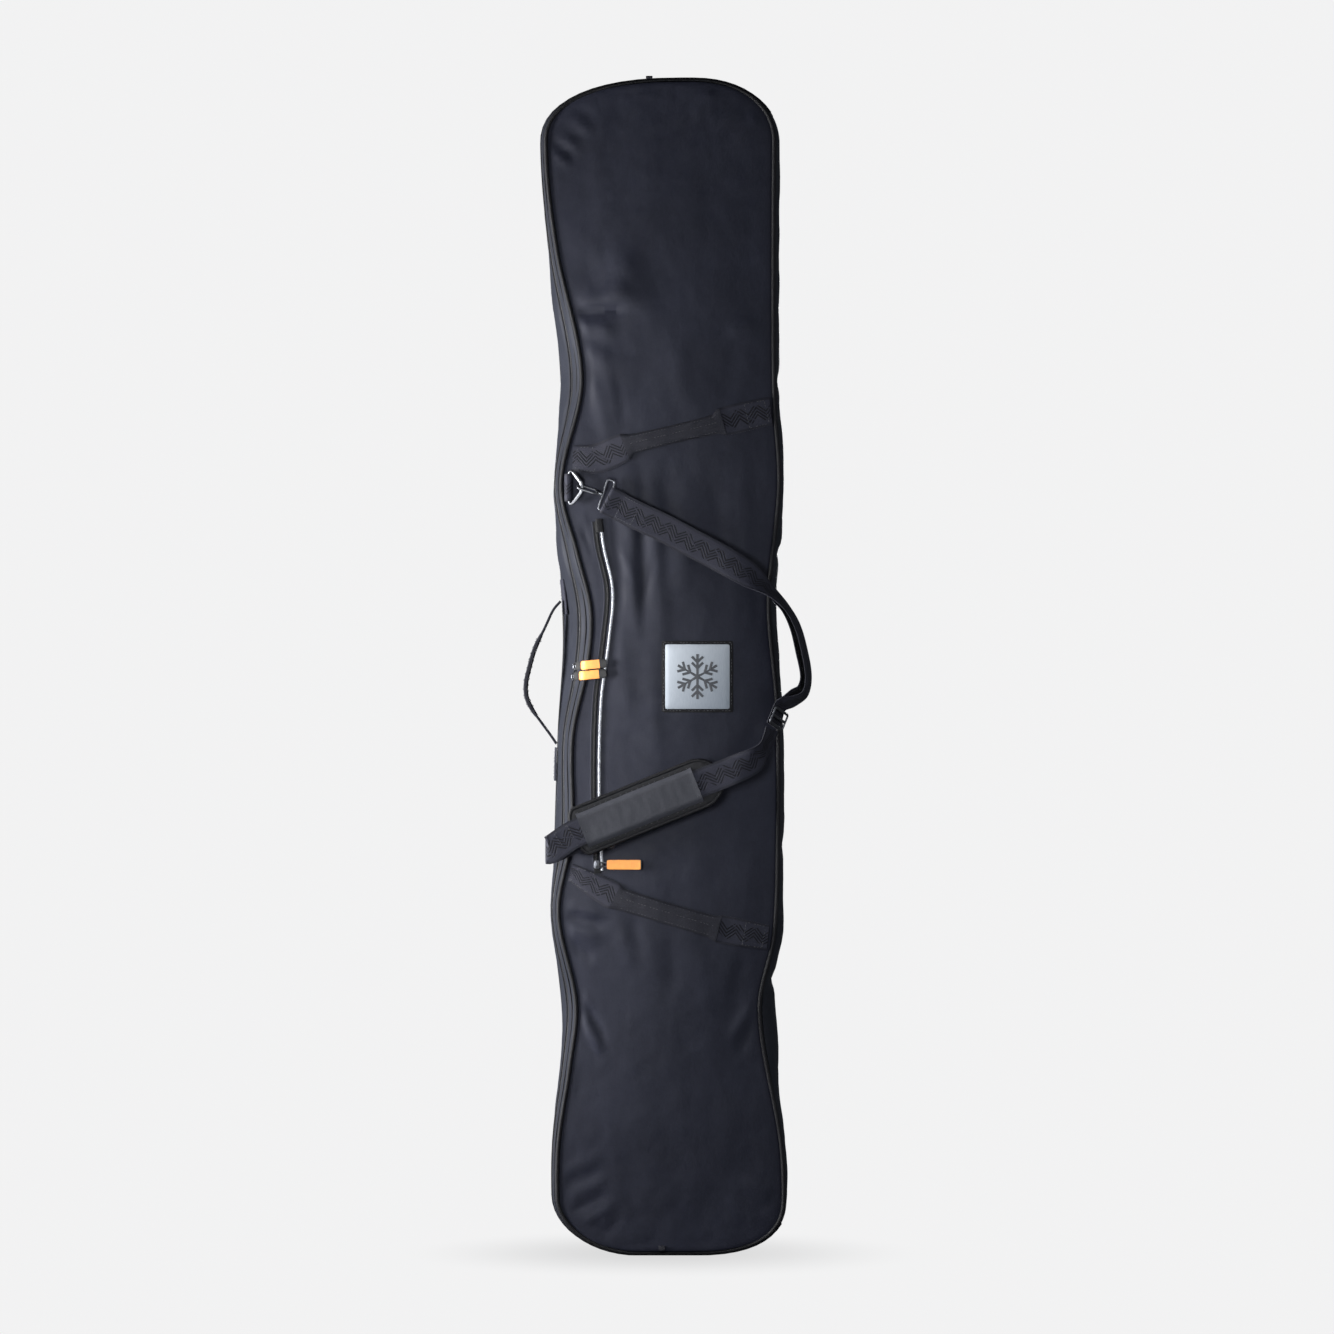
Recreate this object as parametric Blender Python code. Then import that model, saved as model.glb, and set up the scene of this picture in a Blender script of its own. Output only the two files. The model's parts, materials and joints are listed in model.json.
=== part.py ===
"""A padded snowboard bag standing on its end, built as separate closed solids, in metres.

+Z is up, the front panel faces -Y and the origin is the middle of the flat base. The lid is the
front panel with its strip of gusset: it turns about a vertical line along the right-hand side.
"""

import math

import bmesh
import bpy
from mathutils import Matrix, Vector

# Outline of the bag, seen from the front: the centre line of the piping
EDGE_LOW = 0.004
EDGE_HIGH = 1.676
# Each corner: how far it reaches along the end, how far up the side, and how square it is
BASE_CORNERS = ((0.113, 0.081, 2.0), (0.132, 0.081, 2.6))
TOP_CORNERS = ((0.192, 0.089, 2.35), (0.116, 0.089, 2.15))
CORNER_STEPS = 7
END_STEPS = 4
FRONT_LEFT = [
    (0.00, -0.150), (0.15, -0.151), (0.27, -0.134), (0.36, -0.125), (0.49, -0.150), (0.60, -0.131),
    (0.74, -0.130), (0.84, -0.109), (0.92, -0.104), (1.00, -0.123), (1.10, -0.146), (1.25, -0.117),
    (1.43, -0.152), (1.55, -0.167), (1.68, -0.168),
]
FRONT_RIGHT = [
    (0.00, 0.170), (0.15, 0.168), (0.35, 0.136), (0.46, 0.157), (0.60, 0.162), (0.78, 0.161),
    (0.93, 0.149), (1.10, 0.164), (1.22, 0.157), (1.45, 0.156), (1.68, 0.158),
]
BACK_LEFT = [
    (0.00, -0.148), (0.15, -0.152), (0.32, -0.143), (0.48, -0.156), (0.75, -0.150), (0.88, -0.143),
    (1.09, -0.152), (1.24, -0.146), (1.42, -0.160), (1.68, -0.169),
]
BACK_RIGHT = [
    (0.00, 0.164), (0.15, 0.162), (0.38, 0.147), (0.50, 0.162), (0.75, 0.162), (1.00, 0.153),
    (1.13, 0.162), (1.22, 0.157), (1.68, 0.157),
]

# Depth of the bag: half of it at the ends and how much more in the middle, and the panels' crowns
END_HALF_DEPTH = 0.046
MORE_HALF_DEPTH = 0.016
FRONT_CROWN = (0.006, 0.012)
BACK_CROWN = (0.004, 0.006)
BASE_BULGE = 0.004
SIDE_BULGE = 0.009
ROW_STEP = 0.056

# Fabric layers
PANEL = 0.005
GUSSET = 0.005
POCKET = 0.001
POCKET_GAP = 0.0016
LINING = 0.0025
PIPING_RADIUS = 0.003
PIPING_MARGIN = 0.0038
LINING_MARGIN = 0.0095
GAP = 0.0005
WEBBING = 0.0018

# Places across the gusset, from 0 at the front piping to 1 at the back piping
GUSSET_FRONT = 0.062
ZIP_PLACE = 0.240
ZIP_HALF_PLACE = 0.028
SPLIT_HALF_PLACE = 0.003
GUSSET_BACK = 0.938
FLAT_FROM = 0.10

# Joint lines that several pieces share
LID_AXIS = (0.176, -0.023)
RING_AXIS = (-0.1345, -0.0705)
HANDLE_AXIS = (-0.1560, 0.025)

# Pieces that turn together about a shared line
LID_PIECES = (
    "front_panel", "front_lining", "pocket_lining", "front_piping", "gusset_front_strip",
    "zip_tape_front", "pocket_zip_chain", "reflective_piping", "label_backing", "label_face",
    "haul_strap_upper", "haul_strap_lower", "end_tab_top", "end_tab_bottom",
    "d_ring_loop_upper", "d_ring_loop_lower",
)
STRAP_PIECES = (
    "shoulder_strap_long", "shoulder_strap_doubled", "shoulder_strap_short",
    "swivel_pin_upper", "swivel_pin_lower", "strap_loop_upper", "strap_loop_lower",
)

# Shoulder strap
STRAP_HALF = 0.020
STRAP_ANGLE = math.radians(22)
STRAP_Y = -0.1024
PAD_CENTRE = (-0.0344, 0.640)
PAD_HALF_LENGTH = 0.088
PAD_TIPS = (0.012, 0.034)
PAD_HALF_WIDTH = 0.0335
PAD_LAYERS = (-0.0945, -0.1010)
SLEEVE_LAYERS = (-0.1038, -0.1053)

UPPER_STRAP = [
    (-0.0690, -0.0862, 1.0700, 0.0), (-0.0400, -0.0890, 1.0550, 0.0), (-0.0014, -0.0905, 1.0370, 0.0),
    (0.0370, -0.0912, 1.0165, 0.0), (0.0760, -0.0920, 0.9960, 0.05), (0.1160, -0.0935, 0.9727, 0.30),
    (0.1500, -0.0945, 0.9480, 0.68), (0.1740, -0.0935, 0.9240, 0.80), (0.1890, -0.0915, 0.8980, 0.80),
    (0.1990, -0.0895, 0.8637, 0.80), (0.2050, -0.0885, 0.8250, 0.80), (0.1998, -0.0890, 0.8010, 0.78),
    (0.1830, -0.0895, 0.7905, 0.70), (0.1663, -0.0900, 0.7850, 0.64), (0.1590, -0.0925, 0.7677, 0.64),
    (0.1543, -0.0942, 0.7554, 0.64),
]
DOUBLED_STRAP = [
    (0.1710, -0.0935, 0.9215, 0.80), (0.1830, -0.0915, 0.8955, 0.80), (0.1912, -0.0895, 0.8621, 0.80),
    (0.1980, -0.0885, 0.8270, 0.80), (0.1935, -0.0890, 0.8085, 0.78), (0.1840, -0.0895, 0.8020, 0.74),
]
STRAP_TO_PAD = [
    (0.1532, -0.0948, 0.7512, 0.64), (0.1500, -0.0955, 0.7410, 0.66), (0.1415, -0.0972, 0.7235, 0.64),
    (0.1266, -0.0998, 0.7070, 0.34), (0.1000, -0.1024, 0.6945, 0.0),
]
FOLD_X = -0.1615
FOLD_Z = 0.5800
UNDER_RISE = (0.0000, 0.0090)
FOLD_RADIUS = 0.00595
UNDER_END = -0.0770
ADJUSTER_FRAME = 14
ADJUSTER_LIFT = 0.0050
ADJUSTER = (0.0460, 0.0260, 0.0022)
ADJUSTER_BAR = 0.0036

# Rings and hooks
RING_ROD = 0.0018
RING_HALF = 0.0225
RING_REACH = 0.0192
UPPER_RING_Z = 1.0946
LOWER_RING_Z = 0.5970
HOOK_ROD = 0.0016
HOOK_HALF = 0.0055
HOOK_STEM = 0.0300
HOOK_ANGLES = (-18, 12)
HOOK_ROLL = math.radians(30)
GATE_PIVOT = (0.0240, -HOOK_HALF)
RING_LEAN = Vector((0.894, -0.448, 0.0))
RING_OUTLINE = [
    (0.0, 0.0110), (0.0, 0.0212), (0.0024, 0.0232), (0.0058, 0.0218), (0.0160, 0.0100),
    (0.0186, 0.0066), (0.0192, 0.0),
]

# Zips, pulls and label
MAIN_SLIDERS_Z = (0.8400, 0.8254)
POCKET_ROUTE = [
    (0.550, -0.0920), (0.650, -0.0962), (0.788, -0.0937), (0.880, -0.0822), (0.948, -0.0770),
    (1.011, -0.0900), (1.046, -0.0945),
]
CHAIN_SIDE = -0.0032
PIPING_SIDE = 0.0044
POCKET_SLIDER_Z = 0.5585
POCKET_PULL_LIFT = 0.0056
SLIDER = (0.0085, 0.0120, 0.0040)
LABEL_CENTRE = (0.0475, 0.8257)
LABEL_HALF = 0.0510
LABEL_FACE_HALF = 0.0460
POCKET_PIVOT_X = 0.0060
POCKET_TAB = (0.0110, 0.0640)

# Diagonal haul straps: points on the front panel, each with half the width there
UPPER_HAUL = [
    (-0.130, 1.137, 0.018), (-0.095, 1.136, 0.021), (-0.056, 1.152, 0.020), (-0.045, 1.156, 0.014),
    (0.072, 1.184, 0.014), (0.084, 1.188, 0.020), (0.1510, 1.204, 0.020),
]
LOWER_HAUL = [
    (-0.131, 0.546, 0.013), (-0.075, 0.516, 0.020), (-0.060, 0.509, 0.016), (0.066, 0.471, 0.016),
    (0.080, 0.467, 0.020), (0.1420, 0.455, 0.016),
]

# Side grab handle: points (x, z) with half its width there, and the sewn patches under its ends
PATCH_LIFT = 0.0022
SIDE_HANDLE = [
    (-0.1485, 0.9340, 0.0040), (-0.1590, 0.9215, 0.0060), (-0.1706, 0.8970, 0.0120),
    (-0.1850, 0.8670, 0.0125), (-0.1940, 0.8366, 0.0125), (-0.1985, 0.8140, 0.0125),
    (-0.1970, 0.7950, 0.0125), (-0.1890, 0.7780, 0.0120), (-0.1750, 0.7580, 0.0120),
    (-0.1640, 0.7430, 0.0060), (-0.1580, 0.7310, 0.0040),
]
PATCHES = {"upper": (0.915, 0.965), "lower": (0.676, 0.724)}


def smooth(points, at):
    """The value at this place on a smooth curve through (place, value) points."""
    last = len(points) - 1
    i = max(0, min(last - 1, sum(1 for place, _ in points[1:] if place < at)))
    (p0, v0), (p1, v1) = points[i], points[i + 1]
    before = points[max(i - 1, 0)]
    after = points[min(i + 2, last)]
    slope0 = (v1 - before[1]) / (p1 - before[0])
    slope1 = (after[1] - v0) / (after[0] - p0)
    span = p1 - p0
    t = min(1.0, max(0.0, (at - p0) / span))
    return (
        (2 * t**3 - 3 * t**2 + 1) * v0
        + (t**3 - 2 * t**2 + t) * span * slope0
        + (3 * t**2 - 2 * t**3) * v1
        + (t**3 - t**2) * span * slope1
    )


def swell(z):
    """0 at the ends of the bag and 1 at half height."""
    return 1 - abs(2 * z / (EDGE_LOW + EDGE_HIGH) - 1) ** 2.5


def half_depth(z):
    return END_HALF_DEPTH + MORE_HALF_DEPTH * swell(z)


def crown(z, sizes):
    return sizes[0] + sizes[1] * swell(z)


def across(x, left, right):
    """0 on the outline's two sides and 1 midway between them."""
    u = min(1.0, max(0.0, (x - left) / (right - left)))
    return 1 - (2 * u - 1) ** 2


def front_y(x, z):
    """The outer face of the front panel."""
    rise = across(x, smooth(FRONT_LEFT, z), smooth(FRONT_RIGHT, z))
    return -half_depth(z) - crown(z, FRONT_CROWN) * rise


def back_y(x, z):
    """The outer face of the back panel."""
    rise = across(x, smooth(BACK_LEFT, z), smooth(BACK_RIGHT, z))
    return half_depth(z) + crown(z, BACK_CROWN) * rise


def material(name, colour, roughness, metallic=0.0):
    made = bpy.data.materials.new(name)
    made.use_nodes = True
    shader = made.node_tree.nodes["Principled BSDF"]
    shader.inputs["Base Color"].default_value = (*colour, 1.0)
    shader.inputs["Roughness"].default_value = roughness
    shader.inputs["Metallic"].default_value = metallic
    made.diffuse_color = (*colour, 1.0)
    return made


def add_object(name, mesh, colour, origin=(0, 0, 0)):
    """A mesh given in world coordinates, as an object whose own origin is at the given point."""
    mesh.transform(Matrix.Translation(-Vector(origin)))
    mesh.materials.append(colour)
    obj = bpy.data.objects.new(name, mesh)
    obj.location = origin
    bpy.context.scene.collection.objects.link(obj)
    return obj


def finish_mesh(name, bm, colour, origin=(0, 0, 0), smooth_angle=40):
    bmesh.ops.recalc_face_normals(bm, faces=bm.faces)
    mesh = bpy.data.meshes.new(name)
    bm.to_mesh(mesh)
    bm.free()
    mesh.shade_smooth()
    mesh.set_sharp_from_angle(angle=math.radians(smooth_angle))
    return add_object(name, mesh, colour, origin)


def slab(name, outer, inner, colour, ring=False, origin=(0, 0, 0)):
    """A closed solid between two grids of points, whose rows may run round in a ring."""
    bm = bmesh.new()
    tops = [[bm.verts.new(p) for p in row] for row in outer]
    lows = [[bm.verts.new(p) for p in row] for row in inner]
    rows, columns = len(tops), len(tops[0])
    for i in range(rows if ring else rows - 1):
        n = (i + 1) % rows
        for j in range(columns - 1):
            bm.faces.new((tops[i][j], tops[i][j + 1], tops[n][j + 1], tops[n][j]))
            bm.faces.new((lows[i][j], lows[n][j], lows[n][j + 1], lows[i][j + 1]))
        for j in (0, columns - 1):
            bm.faces.new((tops[i][j], tops[n][j], lows[n][j], lows[i][j]))
    if not ring:
        for i in (0, rows - 1):
            for j in range(columns - 1):
                bm.faces.new((tops[i][j], tops[i][j + 1], lows[i][j + 1], lows[i][j]))
    return finish_mesh(name, bm, colour, origin)


def tube(name, points, radius, colour, cyclic=False, sides=2, origin=(0, 0, 0)):
    """A round rod along the points, closed by end caps unless it runs round in a ring."""
    curve = bpy.data.curves.new(name, "CURVE")
    curve.dimensions = "3D"
    curve.bevel_depth = radius
    curve.bevel_resolution = sides
    curve.use_fill_caps = not cyclic
    spline = curve.splines.new("POLY")
    spline.points.add(len(points) - 1)
    spline.use_cyclic_u = cyclic
    for place, point in zip(spline.points, points):
        place.co = (*(Vector(point) - Vector(origin)), 1.0)
    curve.materials.append(colour)
    obj = bpy.data.objects.new(name, curve)
    obj.location = origin
    bpy.context.scene.collection.objects.link(obj)
    return obj


def corner_rows(corners, margin):
    """(rise, left inset, right inset, left lean, right lean) from the end of the bag up its corners."""
    tall = corners[0][1] - margin
    rows = []
    for k in range(CORNER_STEPS):
        down = math.cos(math.radians(90 * k / CORNER_STEPS))
        insets, leans = [], []
        for reach, _, power in corners:
            wide = reach - margin
            out = (1 - down**power) ** (1 / power)
            insets.append(wide * (1 - out))
            slopes = (out ** (power - 1) / wide, down ** (power - 1) / tall)
            leans.append(slopes[1] / math.hypot(*slopes))
        rows.append((tall * (1 - down), *insets, *leans))
    return rows


def side_rows(margin):
    """(z, left inset, right inset, left lean, right lean) from the bottom to the top.

    An inset is how far the corner draws the side in. A lean is the outward normal's upward part.
    """
    low, high = EDGE_LOW + margin, EDGE_HIGH - margin
    rows = []
    for rise, left, right, left_lean, right_lean in corner_rows(BASE_CORNERS, margin):
        rows.append((low + rise, left, right, -left_lean, -right_lean))
    start = low + BASE_CORNERS[0][1] - margin
    end = high - TOP_CORNERS[0][1] + margin
    count = round((end - start) / ROW_STEP)
    for k in range(count + 1):
        rows.append((start + (end - start) * k / count, 0.0, 0.0, 0.0, 0.0))
    for rise, *rest in reversed(corner_rows(TOP_CORNERS, margin)):
        rows.append((high - rise, *rest))
    return rows


def outline(left, right, margin=0.0):
    """The closed outline as (x, z, normal x, normal z), from the right end of the base leftwards."""
    lefts = []
    rights = []
    for z, left_inset, right_inset, left_lean, right_lean in side_rows(margin):
        x = smooth(left, z) + margin + left_inset
        lefts.append((x, z, -math.sqrt(1 - left_lean**2), left_lean))
        x = smooth(right, z) - margin - right_inset
        rights.append((x, z, math.sqrt(1 - right_lean**2), right_lean))
    ends = [k / END_STEPS for k in range(1, END_STEPS)]
    base = [(*_between(rights[0], lefts[0], share), 0.0, -1.0) for share in ends]
    top = [(*_between(lefts[-1], rights[-1], share), 0.0, 1.0) for share in ends]
    return base + lefts + top + rights[::-1]


def _between(start, end, share):
    return (start[0] + (end[0] - start[0]) * share, start[1] + (end[1] - start[1]) * share)


ROW_COUNT = len(side_rows(0.0))
ZIP_END = 2 * (END_STEPS - 1) + ROW_COUNT


def gusset_profile(place, lean):
    """How far the gusset bulges here: flat-topped on the base and top, round on the sides."""
    flat = min(1.0, math.sin(math.pi * place) / math.sin(math.pi * FLAT_FROM))
    rounded = math.sin(math.pi * place) ** 0.6
    share = lean**2
    size = SIDE_BULGE + (BASE_BULGE - SIDE_BULGE) * share
    return size * (rounded + (flat - rounded) * share)


def gusset_point(front, back, place, inward=0.0):
    x = front[0] + (back[0] - front[0]) * place
    z = front[1]
    depth = half_depth(z)
    y = -depth + 2 * depth * place
    out = gusset_profile(place, front[3]) - inward
    return Vector((x + front[2] * out, y, z + front[3] * out))


def gusset_band(name, places_at, colour, indices, ring, outer=0.0, inner=GUSSET, origin=(0, 0, 0)):
    """A strip of the gusset over these outline points, between the places given for each."""
    fronts, backs = outline(FRONT_LEFT, FRONT_RIGHT), outline(BACK_LEFT, BACK_RIGHT)
    grids = ([], [])
    for k in indices:
        for grid, inward in zip(grids, (outer, inner)):
            grid.append([gusset_point(fronts[k], backs[k], p, inward) for p in places_at(k)])
    return slab(name, *grids, colour, ring, origin)


def spread(start, end, count):
    return [start + (end - start) * k / count for k in range(count + 1)]


def panel(name, left, right, surface, layers, margin, columns, colour):
    """A crowned panel inside the outline, between two distances behind its outer surface."""
    grids = ([], [])
    for z, left_inset, right_inset, *_ in side_rows(margin):
        low = smooth(left, z) + margin + left_inset
        high = smooth(right, z) - margin - right_inset
        xs = spread(low, high, columns)
        for grid, depth in zip(grids, layers):
            grid.append([Vector((x, surface(x, z) + depth, z)) for x in xs])
    return slab(name, *grids, colour)


def piping(name, left, right, sign, colour):
    points = [(x, sign * half_depth(z), z) for x, z, _, _ in outline(left, right)]
    return tube(name, points, PIPING_RADIUS, colour, cyclic=True, sides=1)


def zip_point(z, above=0.0):
    """A point on the main zip at this height on the left, this far out from the gusset."""
    left, back = smooth(FRONT_LEFT, z), smooth(BACK_LEFT, z)
    return gusset_point((left, z, -1.0, 0.0), (back, z, -1.0, 0.0), ZIP_PLACE, -above)


def build_shell(fabric, lining, black, zip_cloth):
    """Back panel, lining, rear gusset, back piping and the rear half of the zip."""
    panel(
        "back_panel", BACK_LEFT, BACK_RIGHT, back_y, (0.0, -PANEL), PIPING_MARGIN, 4, fabric
    )
    inner = (-PANEL - GAP, -PANEL - GAP - LINING)
    panel("back_lining", BACK_LEFT, BACK_RIGHT, back_y, inner, LINING_MARGIN, 4, lining)
    piping("back_piping", BACK_LEFT, BACK_RIGHT, 1, black)
    around = range(len(outline(BACK_LEFT, BACK_RIGHT)))

    def rear_places(k):
        start = ZIP_HALF_PLACE if k <= ZIP_END else SPLIT_HALF_PLACE
        start += ZIP_PLACE + (GAP / 2 / END_HALF_DEPTH if k <= ZIP_END else 0)
        return [start, *spread(0.36, 0.90, 3), GUSSET_BACK]

    gusset_band("gusset_rear", rear_places, fabric, around, True)
    gusset_band(
        "zip_tape_rear",
        lambda k: [ZIP_PLACE + SPLIT_HALF_PLACE, ZIP_PLACE + ZIP_HALF_PLACE],
        zip_cloth, range(ZIP_END), False, 0.0005, 0.0035,
    )


def build_lid(fabric, lining, black, zip_cloth):
    """Front panel, its linings, the front gusset strip, the front piping and its half of the zip."""
    panel(
        "front_panel", FRONT_LEFT, FRONT_RIGHT, front_y, (0.0, PANEL), PIPING_MARGIN, 6, fabric
    )
    pocket = (PANEL + POCKET_GAP, PANEL + POCKET_GAP + POCKET)
    build_pocket_lining(pocket, lining)
    inner = (pocket[1] + POCKET_GAP, pocket[1] + POCKET_GAP + LINING)
    panel("front_lining", FRONT_LEFT, FRONT_RIGHT, front_y, inner, LINING_MARGIN, 6, lining)
    piping("front_piping", FRONT_LEFT, FRONT_RIGHT, -1, black)
    around = range(len(outline(FRONT_LEFT, FRONT_RIGHT)))

    def front_places(k):
        end = ZIP_HALF_PLACE if k <= ZIP_END else SPLIT_HALF_PLACE
        end += GAP / 2 / END_HALF_DEPTH if k <= ZIP_END else 0
        return spread(GUSSET_FRONT, ZIP_PLACE - end, 2)

    gusset_band("gusset_front_strip", front_places, fabric, around, True)
    gusset_band(
        "zip_tape_front",
        lambda k: [ZIP_PLACE - ZIP_HALF_PLACE, ZIP_PLACE - SPLIT_HALF_PLACE],
        zip_cloth, range(ZIP_END), False, 0.0005, 0.0035,
    )


def build_pocket_lining(layers, colour):
    """The flat pocket behind the panel, from the pocket zip to the right-hand side."""
    grids = ([], [])
    for z in spread(0.50, 1.09, 14):
        xs = spread(-0.100, smooth(FRONT_RIGHT, z) - 0.030, 6)
        for grid, depth in zip(grids, layers):
            grid.append([Vector((x, front_y(x, z) + depth, z)) for x in xs])
    slab("pocket_lining", *grids, colour)


def on_panel(name, route, colour, near, thick, columns=2):
    """A flat strip sewn on the front panel: its route gives x, z and half its width."""
    middle = [Vector((x, z)) for x, z, _ in route]
    grids = ([], [])
    for i, (x, z, half) in enumerate(route):
        along = (middle[min(i + 1, len(route) - 1)] - middle[max(i - 1, 0)]).normalized()
        side = Vector((-along.y, along.x)) * half
        for grid, lift in zip(grids, (near + thick, near)):
            grid.append([])
            for share in spread(-1.0, 1.0, columns):
                px, pz = x + side.x * share, z + side.y * share
                grid[-1].append(Vector((px, front_y(px, pz) - lift, pz)))
    slab(name, *grids, colour)


def dense(route, step=0.012):
    """The same route with more points on its straight stretches."""
    found = [route[0]]
    for start, end in zip(route, route[1:]):
        count = max(1, math.ceil(math.hypot(end[0] - start[0], end[1] - start[1]) / step))
        for k in range(1, count + 1):
            found.append(tuple(a + (b - a) * k / count for a, b in zip(start, end)))
    return found


def build_pocket_zip(chain_colour, silver):
    """The pocket's zip chain and the reflective piping along its right-hand side."""
    heights = spread(POCKET_ROUTE[0][0], POCKET_ROUTE[-1][0], 16)
    route = [(smooth(POCKET_ROUTE, z) + CHAIN_SIDE, z, 0.0024) for z in heights]
    on_panel("pocket_zip_chain", route, chain_colour, GAP, 0.0015, 1)
    points = []
    for z in heights:
        x = smooth(POCKET_ROUTE, z) + PIPING_SIDE
        points.append((x, front_y(x, z) - 0.0022, z))
    tube("reflective_piping", points, 0.0015, silver, sides=1)


def build_label(dark, silver):
    """The stitched label: a dark backing and a silver face on it."""
    x, z = LABEL_CENTRE
    for name, half, near, thick, colour in (
        ("label_backing", LABEL_HALF, GAP, 0.0012, dark),
        ("label_face", LABEL_FACE_HALF, 2 * GAP + 0.0012, 0.0008, silver),
    ):
        route = [(x + share * half, z, half) for share in spread(-1.0, 1.0, 4)]
        on_panel(name, route, colour, near, thick, 4)


def build_haul_straps(webbing):
    """Two flat straps across the front, wide at their sewn ends and folded narrow between them."""
    for name, route in (("haul_strap_upper", UPPER_HAUL), ("haul_strap_lower", LOWER_HAUL)):
        on_panel(name, dense(route, 0.03), webbing, GAP, 0.0022)


def build_end_tabs(black):
    """Small sewn tabs on the piping at the middle of the top and of the base."""
    for name, x, y, z, sizes in (
        ("end_tab_top", -0.021, -0.046, 1.6825, (0.010, 0.004, 0.006)),
        ("end_tab_bottom", -0.003, -0.0545, 0.0065, (0.010, 0.003, 0.011)),
    ):
        bm = bmesh.new()
        bmesh.ops.create_cube(bm, size=1.0)
        bmesh.ops.scale(bm, vec=sizes, verts=bm.verts)
        bmesh.ops.translate(bm, vec=(x, y, z), verts=bm.verts)
        finish_mesh(name, bm, black)


def strap_frames(stations):
    """(centre, side, normal) along a strap: twist 0 lies flat to the front, 1 stands on edge."""
    centres = [Vector(station[:3]) for station in stations]
    frames = []
    side = None
    for i, (centre, station) in enumerate(zip(centres, stations)):
        along = centres[min(i + 1, len(centres) - 1)] - centres[max(i - 1, 0)]
        along.normalize()
        flat = Vector((-along.z, 0.0, along.x))
        if side is not None and (flat.length < 0.3 or abs(along.y) > 0.5):
            flat = side.copy()
        flat.normalize()
        if side is not None and station[3] < 0.5 and flat.dot(side) < 0:
            flat = -flat
        turned = flat.lerp(Vector((0, 1, 0)), station[3])
        turned -= along * turned.dot(along)
        side = turned.normalized()
        frames.append((centre, side, along.cross(side).normalized()))
    return frames


def ribbon(name, frames, halves, thickness, colour, origin=(0, 0, 0)):
    """A flat strap through these frames, with half its width at each."""
    grids = ([], [])
    for (centre, side, normal), half in zip(frames, halves):
        for grid, lift in zip(grids, (thickness / 2, -thickness / 2)):
            grid.append([centre + normal * lift - side * half, centre + normal * lift + side * half])
    return slab(name, *grids, colour, origin=origin)


def strap_line(along, y=STRAP_Y):
    """A point this far along the straight stretch of strap that carries the pad."""
    return (
        PAD_CENTRE[0] + along * math.cos(STRAP_ANGLE), y,
        PAD_CENTRE[1] + along * math.sin(STRAP_ANGLE),
    )


def lower_strap_stations():
    """From the adjuster, along under the pad, round the fold at the left and back to the ring."""
    stations = list(STRAP_TO_PAD)
    stations += [(*strap_line(along), 0.0) for along in spread(0.112, -0.100, 4)]
    middle = STRAP_Y + FOLD_RADIUS
    for k in range(7):
        turn = math.pi * k / 6
        x = FOLD_X - FOLD_RADIUS * math.sin(turn)
        stations.append((x, middle - FOLD_RADIUS * math.cos(turn), FOLD_Z, 0.0))
    for x, rise in zip((-0.120, UNDER_END), UNDER_RISE):
        stations.append((x, middle + FOLD_RADIUS, LOWER_RING_Z + rise, 0.0))
    return stations


def build_shoulder_strap(webbing):
    """The strap's webbing: the long run, the doubled run at the adjuster and the run to the fold."""
    for name, stations in (
        ("shoulder_strap_long", UPPER_STRAP),
        ("shoulder_strap_doubled", DOUBLED_STRAP),
        ("shoulder_strap_short", lower_strap_stations()),
    ):
        frames = strap_frames(stations)
        ribbon(name, frames, [STRAP_HALF] * len(frames), WEBBING, webbing)


def frame_matrix(centre, x_axis, y_axis, z_axis):
    turn = Matrix((x_axis, y_axis, z_axis)).transposed().to_4x4()
    return Matrix.Translation(centre) @ turn


def build_adjuster(metal):
    """The tri-glide: a flat frame with a middle bar, which lies across the strap."""
    centre, side, normal = strap_frames(UPPER_STRAP)[ADJUSTER_FRAME]
    along = side.cross(normal)
    centre = centre + normal * ADJUSTER_LIFT
    width, length, thick = ADJUSTER
    xs = [-width / 2, -width / 2 + ADJUSTER_BAR, width / 2 - ADJUSTER_BAR, width / 2]
    slot = (length - 3 * ADJUSTER_BAR) / 2
    ys = [-length / 2]
    for step in (ADJUSTER_BAR, slot, ADJUSTER_BAR, slot, ADJUSTER_BAR):
        ys.append(ys[-1] + step)
    bm = bmesh.new()
    grid = [[bm.verts.new((x, y, -thick / 2)) for y in ys] for x in xs]
    for i in range(3):
        for j in range(5):
            if not (i == 1 and j in (1, 3)):
                bm.faces.new((grid[i][j], grid[i + 1][j], grid[i + 1][j + 1], grid[i][j + 1]))
    made = bmesh.ops.extrude_face_region(bm, geom=bm.faces[:])["geom"]
    tops = [v for v in made if isinstance(v, bmesh.types.BMVert)]
    bmesh.ops.translate(bm, vec=(0, 0, thick), verts=tops)
    bmesh.ops.transform(bm, matrix=frame_matrix(centre, side, along, normal), verts=bm.verts)
    finish_mesh("tri_glide", bm, metal, centre)


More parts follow.
